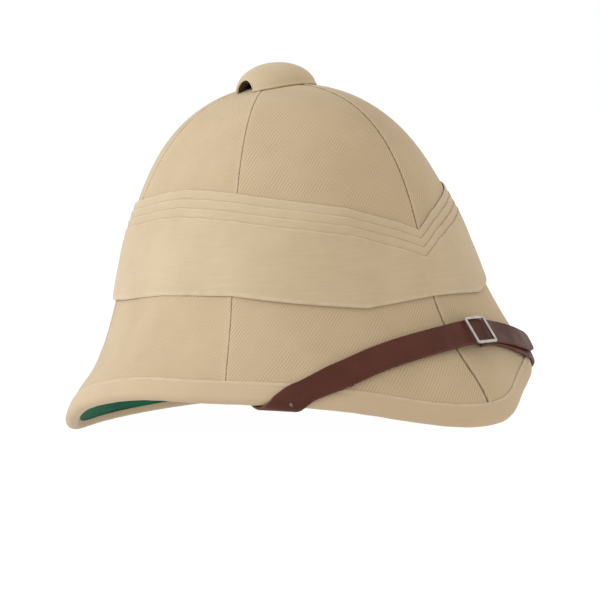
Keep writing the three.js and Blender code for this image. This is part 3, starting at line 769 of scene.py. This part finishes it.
# %% The six gores
GORES = [  # node, angles of its two seams, whether it lies over its neighbour at the first and the last
    ("panel_front_right", 0, SEAM_SIDE, False, False),
    ("panel_side_right", SEAM_SIDE, SEAM_REAR, True, False),
    ("panel_rear_right", SEAM_REAR, 180, True, False),
    ("panel_rear_left", 180, 360 - SEAM_REAR, True, True),
    ("panel_side_left", 360 - SEAM_REAR, 360 - SEAM_SIDE, False, True),
    ("panel_front_left", 360 - SEAM_SIDE, 360, False, True)]
for node_name, *seams_and_laps in GORES:
    gore(node_name.replace("panel", "gore"), node_name, *seams_and_laps)

# %% [markdown]
# ## The lining
# Green cotton lines the inside, from the crown to the binding. It is one skin, sewn from six equal
# gores, so a shallow groove runs along each of its seams. It could be six pieces like the cover,
# but it hardly shows, so the groove is a small push into the wall, which needs closely spaced
# columns only beside the seams.

# %% Lining
SEAM_SIDES = np.array([-2.2, -1.2, -0.8, -0.45, -0.2, 0, 0.2, 0.45, 0.8, 1.2, 2.2])
LINING_FOOT = 0.6           # where the lining ends, up from the rim
GROOVE, GROOVE_WIDTH = 0.45, 0.45
between_seams = np.linspace(4.5, 55.5, 18)
columns = [np.concatenate([a + SEAM_SIDES, a + between_seams]) for a in range(0, 360, 60)]
turn = np.radians(np.concatenate([*columns, 360 + SEAM_SIDES[:1]]))
off_seam = np.degrees(np.abs((turn + math.radians(30)) % math.radians(60) - math.radians(30)))
s = np.concatenate([np.linspace(0, 1, 46), np.linspace(1, 2, 40)[1:]])[:, None]
s = np.where(s > 1, 1 + (climb(turn, LINING_FOOT) - 1) * (s - 1), s)
groove = GROOVE * bell(off_seam, GROOVE_WIDTH) * smooth(s, 0.12, 0.3)
shown = layer(turn, s, CORE_IN - GAP - LINING + groove)
hidden = layer(turn, s, CORE_IN - GAP)
flat = np.stack([section(turn, s)[0] * turn, run_up(math.radians(60), s)], axis=-1)
skin, skin_map = np.concatenate([shown, hidden[::-1]]), np.concatenate([flat, flat[::-1]])
make_piece("green_lining", [(skin, skin_map, 0.4 * bell(off_seam, 0.9))], "lining", lining_cloth)

# %% [markdown]
# ## The binding at the rim
# A strip of cloth is folded over the edge of the wall and sewn down, which gives a thick round rim.
# Its upper edge outside lies over the cover as a small fold, with a sewn dip below it, and inside
# it is tucked over the lining. A curve with a bevel would give a plain tube. Here the profile is a
# list of distances and offsets, carried round the helmet. Where the helmet stands, the roll is
# pressed flat, so no point goes under the floor.

# %% Profile of the binding
LEG = np.array([  # distance up from the roll, offset from the cover's face
    (7.6, -0.9), (8.0, -0.6), (8.15, 0.12), (8.8, 0.14), (8.95, 0.24), (8.92, 0.42), (8.7, 0.6),
    (8.3, 0.74), (7.7, 0.82), (6.9, 0.84), (6.3, 0.72), (5.9, 0.68), (5.4, 0.76), (4.6, 0.88),
    (3.4, 0.94), (2.0, 0.92), (0.8, 0.84)])
LEG_FOLD, LEG_FOLD_ROWS = 6, 2.0    # row of the leg where it folds, and how many rows are rubbed
TUCK = np.array([  # distance up the inside, offset from the roll's inner side
    (0.6, 0.02), (1.6, 0.05), (2.6, 0.1), (3.1, 0.25), (3.25, 0.5), (3.1, 0.64), (2.6, 0.7),
    (0.5, 0.7), (0.3, 1.15)])
UNDER_LEG = np.array([(2.0, -PANEL), (5.0, -PANEL), (7.6, -0.9)])
RIM_RADIUS = 145            # mean, for the cloth map
RIPPLE = 0.05


def legs(turn, profile, face_offset):
    """A profile of (distance, offset) carried round the wall from one of its faces."""
    return layer(turn, climb(turn, profile[:, :1]), face_offset + profile[:, 1:])


print("binding: leg of", len(LEG), "rows, tuck of", len(TUCK))

# %% Rim binding
turn = np.radians(np.linspace(0, 360, 289))
bend = np.linspace(0, 180, 25)[:, None]
soft = RIPPLE * (np.sin(turn * 41 + np.sin(turn * 13)) + np.sin(turn * 67 + 1))
rolled = rim_roll(turn, bend, ROLL_OUT + soft * np.sin(np.radians(bend)))
rolled[..., 2] = np.maximum(rolled[..., 2], 0)
under = rim_roll(turn, np.linspace(180, 0, 9)[:, None], ROLL_IN)
strip = np.concatenate([legs(turn, LEG, 0), rolled, legs(turn, TUCK, MIDDLE - ROLL_OUT), under,
                        legs(turn, UNDER_LEG, 0)])
across = np.concatenate([[0], np.cumsum(np.linalg.norm(np.diff(strip[:, 0], axis=0), axis=-1))])
flat = np.stack(np.broadcast_arrays(-RIM_RADIUS * turn, -across[:, None]), axis=-1)
edge = bell(np.arange(len(strip)) - LEG_FOLD, LEG_FOLD_ROWS)[:, None]
make_piece("rim_roll", [(strip, flat, edge)], "rim_binding", binding_cloth)

# %% [markdown]
# ## The puggaree
# A long scarf is wound round the crown and pinned in pleats. Three narrow pleats lie above a broad
# band, each over the one before, and at the front they come down to a point. Cloth simulation could
# fold it, but the pleats are sharp and regular, so one profile of folds is carried round instead:
# each fold is a rounded nose that rises from the pleat above and sinks to a crease at the next. The
# hem stands off the cover at the front and the back, and lies close to it at the sides.

# %% Puggaree edges
PUGGAREE = np.array([  # angle from the front, upper edge on the right and on the left, lower edge
    (0, 116, 116, 76), (7.5, 122, 125.5, 75.5), (15, 127, 131.5, 74.5), (22.5, 132.5, 136, 73.5),
    (37.5, 138.5, 141.5, 78.5), (60, 146, 146.5, 86.5), (75, 148.8, 148.8, 87.7), (90, 149.8, 149.8, 87.7),
    (105, 148.8, 148.8, 86), (120, 146.5, 146.5, 83.7), (150, 142, 142, 81), (180, 140, 140, 80)])
BEND_COLUMNS = [0.3, 0.6, 22.2, 22.8, 337.2, 337.8, 359.4, 359.7]   # beside the sharp bends
turn = np.radians(np.unique(np.concatenate([np.arange(0, 361, 1.25), BEND_COLUMNS])))
mirrored = np.degrees(np.minimum(turn, math.tau - turn))
right_edge, left_edge, lower = (np.interp(mirrored, PUGGAREE[:, 0], PUGGAREE[:, i]) for i in (1, 2, 3))
upper = np.where(turn <= math.pi, right_edge, left_edge)
print("puggaree: upper edge", upper.min(), "to", upper.max(), "mm")

# %% Profile of the pleats and the hem
PLEATS, PLEAT, PLEAT_STEP, FIRST_FACE, UNDERSIDE = 4, 5.5, 0.4, 1.2, 0.5
FOLD = np.array([  # drop below the fold's line, offset from that pleat's face
    (-0.02, -0.9), (0.0, -0.45), (0.1, -0.2), (0.28, -0.04), (0.6, 0.08), (1.2, 0.12), (2.4, 0.04),
    (3.8, -0.06), (4.7, -0.16), (5.1, -0.3), (5.35, -0.5)])
LAST_DROP = (PLEATS - 1) * PLEAT + 2.4      # the last pleat's face goes on into the broad band
HEM = np.array([  # share of the band's height, offset from its face, how far it closes at the sides
    (0.12, 0.06, 0), (0.25, 0.12, 0), (0.4, 0.2, 0), (0.55, 0.25, 0.05), (0.7, 0.22, 0.15),
    (0.84, 0.12, 0.35), (0.93, 0.0, 0.6), (0.97, -0.12, 0.9), (0.985, -0.3, 1.1), (0.995, -0.55, 1.15),
    (1.0, -0.95, 0.95), (0.998, -1.6, 0.4), (0.97, -2.1, 0)])
HEM_CLOSE = 0.026           # at the sides the hem's last row comes down by this share
BACK_ROWS = np.array([0.2, 0.4, 0.6, 0.8, 0.97, 1.0])[:, None]
drops = np.concatenate([k * PLEAT + FOLD[:, 0] for k in range(PLEATS)])
kept = drops <= LAST_DROP
drops = drops[kept]
faces = np.repeat(FIRST_FACE + np.arange(PLEATS) * PLEAT_STEP, len(FOLD))[kept]
fold_drop, depths = np.tile(FOLD, (PLEATS, 1))[kept].T
from_front = np.degrees(np.where(turn > math.pi, turn - math.tau, turn))
sharp = 1 + 0.5 * bell(from_front + 24, 20) - 0.45 * bell(from_front - 34, 26)
folds = np.maximum(faces[:, None] + depths[:, None] * sharp, UNDERSIDE + 0.05)
print("puggaree:", len(drops), "rows of pleats,", len(HEM), "of band and hem")

# %% Puggaree
BAND_RADIUS = 118           # mean, for the cloth map
pressed = smooth(mirrored, 45, 75) * (1 - smooth(mirrored, 105, 128))
down = HEM[:, :1] + (np.arange(len(HEM)) == len(HEM) - 1)[:, None] * HEM_CLOSE * pressed
band_top = upper - drops[-1]
heights = np.concatenate([upper - drops[:, None], band_top + (lower - band_top) * down,
                          lower + (upper - lower) * BACK_ROWS])
band_face = FIRST_FACE + (PLEATS - 1) * PLEAT_STEP
offsets = np.concatenate([folds, band_face + HEM[:, 1:2] - HEM[:, 2:] * pressed,
                          np.full((len(BACK_ROWS), len(turn)), UNDERSIDE)])
heights, offsets = np.concatenate([heights, heights[:1]]), np.concatenate([offsets, offsets[:1]])
waver = 0.16 * np.sin(3 * turn + 1.3) + 0.1 * np.sin(7 * turn + 0.4) + 0.06 * np.sin(17 * turn)
fold_rows = (np.arange(len(heights)) < len(drops))[:, None]
fold_rows[-1] = True
heights = heights + np.where(fold_rows, 0.5 * waver, 0)
ripple = 0.1 * np.sin(23 * turn + heights / 4) * np.sin(9 * turn + 1) * (offsets > 1.0)
band = layer(turn, at_height(turn, heights), offsets + ripple)
flat = np.stack(np.broadcast_arrays(-BAND_RADIUS * turn, heights), axis=-1)
edge = np.concatenate([bell(fold_drop - 0.3, 0.5), np.where(HEM[:, 0] > 0.96, 0.8, 0.0),
                       np.zeros(len(BACK_ROWS) + 1)])
make_piece("pleated_band", [(band, flat, edge[:, None])], "puggaree", band_cloth)

# %% [markdown]
# ## The button
# A cloth-covered button closes the hole where the gores meet, and stands on the crown over two
# arched vents. It is a hollow dome, turned about its own axis, whose foot follows the crown and
# rises to an arch at each vent. A Boolean could cut the vents, but it leaves ragged faces, so the
# rings of the dome rise with the arch instead. A soft bead runs round the foot, where the cloth is
# turned under, and the inside is painted with a dark brown shade.

# %% Foot and vents of the button
BUTTON_RADIUS, BUTTON_HEIGHT, BUTTON_WALL, BUTTON_FORWARD = 25.5, 18.8, 5, 2.5
VENT_AT, VENT_HALF, VENT_HEIGHT = 98, 20, 8.5
vent_turns = VENT_AT - VENT_HALF * np.cos(np.linspace(0, np.pi, 33))
button_turns = np.radians(np.unique(np.round(np.concatenate([
    np.linspace(0, VENT_AT - VENT_HALF, 33), vent_turns,
    np.linspace(VENT_AT + VENT_HALF, 360 - VENT_AT - VENT_HALF, 45),
    360 - vent_turns, np.linspace(360 - VENT_AT + VENT_HALF, 360, 33)]), 6)))


def seat(radius):
    """Height of the crown under a circle of the button, with the gap between the two."""
    x, y = BUTTON_FORWARD + radius * np.cos(button_turns), radius * np.sin(button_turns)
    bearing = np.arctan2(y, x)
    return section(bearing, at_radius(bearing, np.hypot(x, y)))[1] + GAP


hollow = BUTTON_RADIUS - BUTTON_WALL
seat_floor = seat(BUTTON_RADIUS).min()
degrees = np.degrees(button_turns)
off_vent = np.minimum(np.abs(degrees - VENT_AT), np.abs(degrees - 360 + VENT_AT)) / VENT_HALF
arch = VENT_HEIGHT * np.sqrt(np.clip(1 - off_vent ** 2, 0, 1))
foot = np.maximum(seat(BUTTON_RADIUS) - seat_floor, arch)
inner_foot = np.maximum(seat(hollow) - seat_floor, arch)
print(f"button: foot from {foot.min():.1f} to {foot.max():.1f} mm above its lowest point")

# %% Top button
DOME_POWER = 2.2
LIP_INSET = 1.0
MAP_ROUND, MAP_UP = 22, 30  # mm of cloth for each radian, and from the foot to the top


def dome_ring(height, radius, tall, bulge=0.0):
    """A ring of a dome: radius x (1 - (height / tall)^2.2)^0.5, and a bulge."""
    r = radius * np.sqrt(np.clip(1 - (np.clip(height, 0, tall) / tall) ** DOME_POWER, 0, 1)) + bulge
    return np.stack([CROWN_AXIS + BUTTON_FORWARD + r * np.cos(button_turns), -r * np.sin(button_turns),
                     seat_floor + np.broadcast_to(height, r.shape)], axis=-1)


rise = np.concatenate([[0.0, 0.012, 0.03, 0.06, 0.1, 0.14, 0.19], np.linspace(0.26, 0.9, 14),
                       [0.94, 0.97, 0.985, 0.995, 1.0]])[:, None]
height = foot + (BUTTON_HEIGHT - foot) * rise
bead = 0.45 * bell(height - foot - 0.9, 0.7) - 0.35 * bell(height - foot, 0.35)
outer = dome_ring(height, BUTTON_RADIUS, BUTTON_HEIGHT, bead * (rise < 0.9))
tall = BUTTON_HEIGHT - BUTTON_WALL
inner_rise = np.concatenate([np.linspace(1, 0.1, 12), [0.03, 0.0]])[:, None]
inner = dome_ring(inner_foot + (tall - inner_foot) * inner_rise, hollow, tall)
lip = dome_ring(foot[None, :], BUTTON_RADIUS, BUTTON_HEIGHT, -LIP_INSET)
inside = np.concatenate([inner, lip])
up_map = np.concatenate([inner_rise - 1.2, [[-0.1]], rise])
flat = np.stack(np.broadcast_arrays(-MAP_ROUND * button_turns, MAP_UP * up_map), axis=-1)
# Edge -1 on the inside paints it with dark brown shade, and the outside is worn pale near the foot
edge = np.concatenate([np.full(inside.shape[:2], -1.0), bell(height - foot - 0.8, 0.8)])
button = np.concatenate([inside, outer])
make_piece("crown_button", [(button, flat, edge)], "top_button", band_cloth)

# %% [markdown]
# ## The chin strap
# Two leather straps hook under the rim and meet over the peak, where a slide holds them. A bevelled
# curve would twist where they turn. They lie against the wall, so a strap is laid out as a path of
# angles and distances up from the rim. A smooth curve goes through those rows, and the wall formula
# lifts every point of it into space.
# The leather is cut square and its edges are burnished, so its section is flat with rounded sides.

# %% Rows of the two straps
STRAP_THICK, STRAP_LIFT = 2.2, 0.5
ARC = math.radians(140)     # mm round the rim for each degree
STRAP_RIGHT = np.array([  # angle, run up from the rim, lift off the wall, width
    (57.5, -26, 0.5, 14.2), (53.2, -17.5, 0.5, 14.2), (48.8, -9, 0.5, 14.2), (44.5, -1.6, 0.5, 14.4),
    (40.3, 5, 0.5, 15.2), (36.8, 9.8, 0.5, 15.9), (32.8, 15.6, 0.5, 16.2), (28.6, 21.8, 0.5, 16.2),
    (24.3, 28.2, 0.5, 16.2), (19.6, 34.8, 0.6, 16.2), (14.9, 41.2, 0.8, 16.2), (10, 47.4, 1.1, 16.2),
    (4.4, 52.8, 1.6, 16.2), (-1.2, 54.6, 2.5, 16.2), (-6.5, 52.2, 3.4, 16.2), (-12, 46.2, 3.5, 15.4),
    (-17.2, 39, 3.3, 14.5), (-22, 32.2, 3.2, 14.3), (-26.6, 25.7, 3.2, 14.2), (-31, 19.4, 3.2, 14),
    (-36, 12.6, 3.2, 14), (-39.5, 8, 3.2, 14)])
STRAP_LEFT = np.array([
    (-57.5, -26, 0.5, 14.2), (-53.2, -17.5, 0.5, 14.2), (-48.8, -9, 0.6, 14.2), (-44.5, -1.6, 0.6, 14.4),
    (-40.3, 5, 0.6, 15.2), (-36.6, 9.8, 0.5, 15.9), (-32.4, 15.6, 0.5, 16.2), (-28.4, 21.8, 0.5, 16),
    (-24.2, 28.3, 0.5, 15.6), (-19.6, 35.2, 0.5, 15.2), (-14.9, 42, 0.5, 15), (-10.5, 47, 0.5, 15),
    (-7.5, 49.5, 0.5, 15)])
print("strap rows:", len(STRAP_RIGHT), "and", len(STRAP_LEFT))

# %% A smooth path on the wall


def smooth_path(rows, count):
    """Points at equal steps on a Catmull-Rom curve, with knots at the root of each chord."""
    p = np.vstack([2 * rows[0] - rows[1], rows, 2 * rows[-1] - rows[-2]])
    knot = np.sqrt(np.linalg.norm(np.diff(p, axis=0), axis=1))[:, None]
    d0, d1, d2 = knot[:-2], knot[1:-1], knot[2:]
    x0, x1, x2, x3 = p[:-3], p[1:-2], p[2:-1], p[3:]
    leave = ((x1 - x0) / d0 - (x2 - x0) / (d0 + d1) + (x2 - x1) / d1) * d1
    arrive = ((x2 - x1) / d1 - (x3 - x1) / (d1 + d2) + (x3 - x2) / d2) * d1
    t = np.linspace(0, 1, 60, endpoint=False)[None, :, None]
    x1, x2, leave, arrive = (v[:, None] for v in (x1, x2, leave, arrive))
    dense = x1 + leave * t + (3 * (x2 - x1) - 2 * leave - arrive) * t ** 2 + (
        2 * (x1 - x2) + leave + arrive) * t ** 3
    dense = np.vstack([dense.reshape(-1, 3), rows[-1]])
    length = np.concatenate([[0], np.cumsum(np.linalg.norm(np.diff(dense, axis=0), axis=1))])
    steps = np.linspace(0, length[-1], count)
    return np.stack([np.interp(steps, length, dense[:, i]) for i in range(3)], axis=1), steps


def wrapped(turn, run, lift):
    """The wall as a strap follows it: outside, round the rim's roll, then up the inside."""
    half_round = math.pi * ROLL_OUT
    bend = np.clip(np.degrees(-run / ROLL_OUT), 0, 180)
    outside = layer(turn, climb(turn, np.maximum(run, 0)), PROUD + lift)
    round_rim = rim_roll(turn, bend, ROLL_OUT + lift)
    inside = layer(turn, climb(turn, np.maximum(-run - half_round, 0)), MIDDLE - ROLL_OUT - lift)
    result = np.where((run >= 0)[..., None], outside, round_rim)
    return np.where((run < -half_round)[..., None], inside, result)


def lay(x, up, off):
    """A point of the strap's plan, in mm round the rim and up from it, laid on the wall."""
    return wrapped(np.radians(x / ARC), up, off)


tip = lay(STRAP_RIGHT[-1:, :1] * ARC, STRAP_RIGHT[-1:, 1:2], STRAP_LIFT)[0, 0]
print("free end of the right strap at", np.round(tip, 1), "mm")

# %% Width and edges of a strap
STRAP_EDGE = np.array([0, 0.02, 0.12, 0.3, 0.6, 1.0, 1.5, 2.0, 2.6, 3.6, 5.0, 6.4]) / 8.1
STRAP_SHARE = np.concatenate([STRAP_EDGE - 1, [0], (1 - STRAP_EDGE)[::-1]])
LEVEL_BELOW, SQUARE_ABOVE = 9, 20   # runs between which the cross lines turn square to the path
END_LENGTH = 6                      # of the rounded free end
EDGE_THICK = 0.45                   # share of the thickness at the burnished edge
CREASE, CREASE_IN, CREASE_WIDTH = 0.1, 1.8, 0.35
BLUR = np.hanning(15) / np.hanning(15).sum()


def dot(a, b):
    """Products of rows of vectors, kept as a column."""
    return (a * b).sum(axis=-1, keepdims=True)


def burnished(distance):
    """Share of the leather's thickness: a part at the edge, and full a millimetre in."""
    return EDGE_THICK + (1 - EDGE_THICK) * rounded(distance, 1.0)


def cross_lines(spot, run, lift, path):
    """Ways across the strap for each mm of it, and the sine of the angle that each makes with the path."""
    step = 0.01
    around_rim = (lay(spot + step, run, lift) - lay(spot - step, run, lift))[:, 0] / (2 * step)
    up_wall = (lay(spot, run + step, lift) - lay(spot, run - step, lift))[:, 0] / (2 * step)

    def in_space(way):
        return around_rim * way[:, :1] + up_wall * way[:, 1:2]

    def per_mm(way):
        return way / np.linalg.norm(in_space(way), axis=1, keepdims=True)

    along = unit(in_space(np.gradient(path, axis=0)))
    square = per_mm(np.hstack([-dot(up_wall, along), dot(around_rim, along)]))
    level = per_mm(np.hstack([np.where(square[:, :1] < 0, -1.0, 1.0), 0 * run]))
    across = per_mm(level + (square - level) * smooth(run, LEVEL_BELOW, SQUARE_ABOVE))
    slant = np.linalg.norm(np.cross(along, in_space(across)), axis=1)
    slant = np.convolve(np.pad(slant, len(BLUR) // 2, mode="edge"), BLUR, mode="valid")
    return across, slant[:, None]


print("points across a strap:", len(STRAP_SHARE))

# %% Leather straps


def strap(name, node_name, rows, count, round_end):
    """Two sheets on a path: cross lines lie along the rim near it, and square to the path above."""
    path, length = smooth_path(rows[:, :3] * np.array([ARC, 1, 1]), count)
    spot, run, lift = path[:, :1], path[:, 1:2], path[:, 2:]
    across, slant = cross_lines(spot, run, lift, path)
    left = length[-1] - length[:, None]
    taper = np.sqrt(1 - (1 - np.minimum(left / END_LENGTH, 1)) ** 2 * 0.75) if round_end else 1
    order = np.argsort(rows[:, 0])
    width = np.interp(spot / ARC, rows[order, 0], rows[order, 3])
    half = taper * width / 2 / slant * STRAP_SHARE
    x, up = spot + across[:, :1] * half, run + across[:, 1:] * half
    from_edge = (1 - np.abs(STRAP_SHARE)) * width / 2
    from_end = np.minimum(length[:, None], left)
    thick = np.minimum(burnished(from_edge), burnished(from_end))
    thick = np.where((from_edge <= 0) | (from_end <= 0), 0, thick)
    crease = CREASE * bell(from_edge - CREASE_IN, CREASE_WIDTH) * (thick > 0.9)
    middle = lift + STRAP_THICK / 2
    upper = lay(x, up, middle + STRAP_THICK / 2 * thick - crease)
    under = lay(x, up, middle - STRAP_THICK / 2 * thick)
    flat = np.stack(np.broadcast_arrays(length[:, None], STRAP_SHARE * width / 2), axis=-1)
    edge = bell(np.minimum(from_edge, from_end), 0.5)
    print(f"{name}: {length[-1]:.0f} mm long")
    make_piece(name, two_sheets(upper, under, flat, edge), node_name, leather)


strap("strap_right", "chin_strap_right", STRAP_RIGHT, 220, True)
strap("strap_left", "chin_strap_left", STRAP_LEFT, 120, False)

# %% [markdown]
# ## The slide and the studs
# The slide is a flat frame of nickel that holds the two straps together, and each stud is a small
# domed rivet near the rim. Bevelled boxes could do for the bars, but one rounded bar carried along a
# rectangle with round corners has no joints. Slide and studs are placed by a station on the wall,
# whose axes run along the rim, up the wall and outward.

# %% Stations on the wall


def station(angle, run, lift):
    """Point on the wall or round its rim, and axes as columns: along the rim, up the wall, outward."""
    turn, bend = np.array(math.radians(angle)), max(-run, 0) / ROLL_OUT
    point, normal, down = wall_frame(turn, climb(turn, max(run, 0)))
    outward = normal * math.cos(bend) + down * math.sin(bend)
    along = unit(np.cross(normal, down))
    across = unit(np.cross(outward, along))
    spot = point + normal * MIDDLE + outward * (lift - MIDDLE)
    return spot, np.stack([along, across, outward], axis=1)


def round_box(half_x, half_y, radius, count):
    """Points and outward directions round a rectangle: corner centres and quarter circles."""
    way = (np.arange(4)[:, None] * 90 + np.linspace(0, 90, count)[None, :]).ravel()
    way = np.append(way, way[0])
    out = np.stack([np.cos(np.radians(way)), np.sin(np.radians(way))], axis=1)
    sign = np.repeat(np.array([(1, 1), (-1, 1), (-1, -1), (1, -1)]), count, axis=0)
    sign = np.vstack([sign, sign[:1]])
    return sign * np.array([half_x - radius, half_y - radius]) + radius * out, out


print("station at the front of the rim:", np.round(station(0, 0, 0)[0], 1), "mm")

# %% Slide
SLIDE_ALONG, SLIDE_ACROSS, SLIDE_BAR, SLIDE_THICK = 19, 18.8, 1.8, 1.6
SLIDE_CORNER, BAR_CORNER = 0.9, 0.5
SLIDE_AT = {"angle": -7.5, "run": 50.5, "lift": 7.7}
SLIDE_TURN, SLIDE_TILT, SLIDE_TIP = math.radians(-3.5), math.radians(-2), math.radians(3.5)
middle, out = round_box((SLIDE_ALONG - SLIDE_BAR) / 2, (SLIDE_ACROSS - SLIDE_BAR) / 2, SLIDE_CORNER, 9)
bar, _ = round_box(SLIDE_BAR / 2, SLIDE_THICK / 2, BAR_CORNER, 5)
ring = middle[:, None, :] + out[:, None, :] * bar[None, :, :1]
height = np.broadcast_to(bar[:, 1] + SLIDE_THICK / 2, ring.shape[:2])
local = np.concatenate([ring, height[..., None]], axis=-1)
turned = Matrix.Rotation(SLIDE_TURN, 3, "Z") @ Matrix.Rotation(-SLIDE_TIP, 3, "X")
turned = np.array(turned @ Matrix.Rotation(SLIDE_TILT, 3, "Y"))
spot, slide_axes = station(**SLIDE_AT)
placed = spot + local @ (slide_axes @ turned).T
make_piece("slide_frame", [(placed, *BARE)], "strap_slide", nickel)

# %% Studs
STUD_RADIUS = 1.2
STUD_ANGLE, STUD_RUN = 44.2, -2.4
STUD = np.array([  # radius and height, as shares of the stud's radius
    (0, 0), (0.8, 0), (0.98, 0.04), (1.0, 0.12), (0.98, 0.28), (0.88, 0.5), (0.7, 0.68), (0.45, 0.82),
    (0.2, 0.89), (0, 0.9)]) * STUD_RADIUS
way = np.radians(np.arange(0, 361, 10))
radius, height = STUD[:, :1], STUD[:, 1:]
stud = np.stack(np.broadcast_arrays(radius * np.cos(way), radius * np.sin(way), height), axis=-1)
for side, angle in (("right", STUD_ANGLE), ("left", -STUD_ANGLE)):
    spot, stud_axes = station(angle, STUD_RUN, PROUD + STRAP_LIFT + STRAP_THICK + GAP)
    placed = spot + stud @ stud_axes.T
    make_piece("stud_" + side, [(placed, *BARE)], "strap_stud_" + side, dull_metal)

# %% [markdown]
# ## The stage
# The helmet stands on a lit white table in a white room, under a broad, cool, soft light from the
# upper left. The room and the table give most of the light, so shadows stay pale, the lining shows,
# and the cloth keeps its colour. Colours are shown as they are, without a film-like curve.

# %% Floor and room
FLOOR_REACH, FLOOR_DROP = 30, 0.0002
reach = np.linspace(0, FLOOR_REACH, 3)[:, None]
way = np.radians(np.arange(0, 361, 15))
disc = np.stack(np.broadcast_arrays(reach * np.cos(way), reach * np.sin(way), -FLOOR_DROP), axis=-1)
floor_mesh = bpy.data.meshes.new("floor")
floor_mesh.from_pydata(disc.reshape(-1, 3).tolist(), [], squares(len(reach), len(way)).tolist())
white = new_material("floor_white", Roughness=0.9, Base_Color=(0.06, 0.06, 0.06, 1),
                     Emission_Color=(1, 1, 1, 1), Emission_Strength=0.98)[0]
floor_mesh.materials.append(white)
add_object("floor", floor_mesh)

world = bpy.data.worlds.new("white_room")
world.use_nodes = True
room = world.node_tree.nodes["Background"].inputs
room["Color"].default_value = (1, 1, 1, 1)
room["Strength"].default_value = 1.0
scene.world = world
print("stage: floor and white room")

# %% Key light and colour
KEY_SIZE, KEY_POWER, KEY_COLOUR = 1.2, 29.5, (0.8, 0.9, 1.0)
key_place = camera_level * -1.9 + camera_back * 0.3 + Vector((0, 0, 1.0))
key_aim = Vector((0, 0, 0.1)) - key_place
lamp = bpy.data.lights.new("key", "AREA")
lamp.size, lamp.energy, lamp.color = KEY_SIZE, KEY_POWER, KEY_COLOUR
key = add_object("key", lamp)
key.matrix_world = Matrix.Translation(key_place) @ key_aim.to_track_quat("-Z", "Y").to_matrix().to_4x4()
scene.view_settings.view_transform = "Standard"
scene.view_settings.look = "None"
print(f"key light: {KEY_POWER} W, {KEY_SIZE} m square")
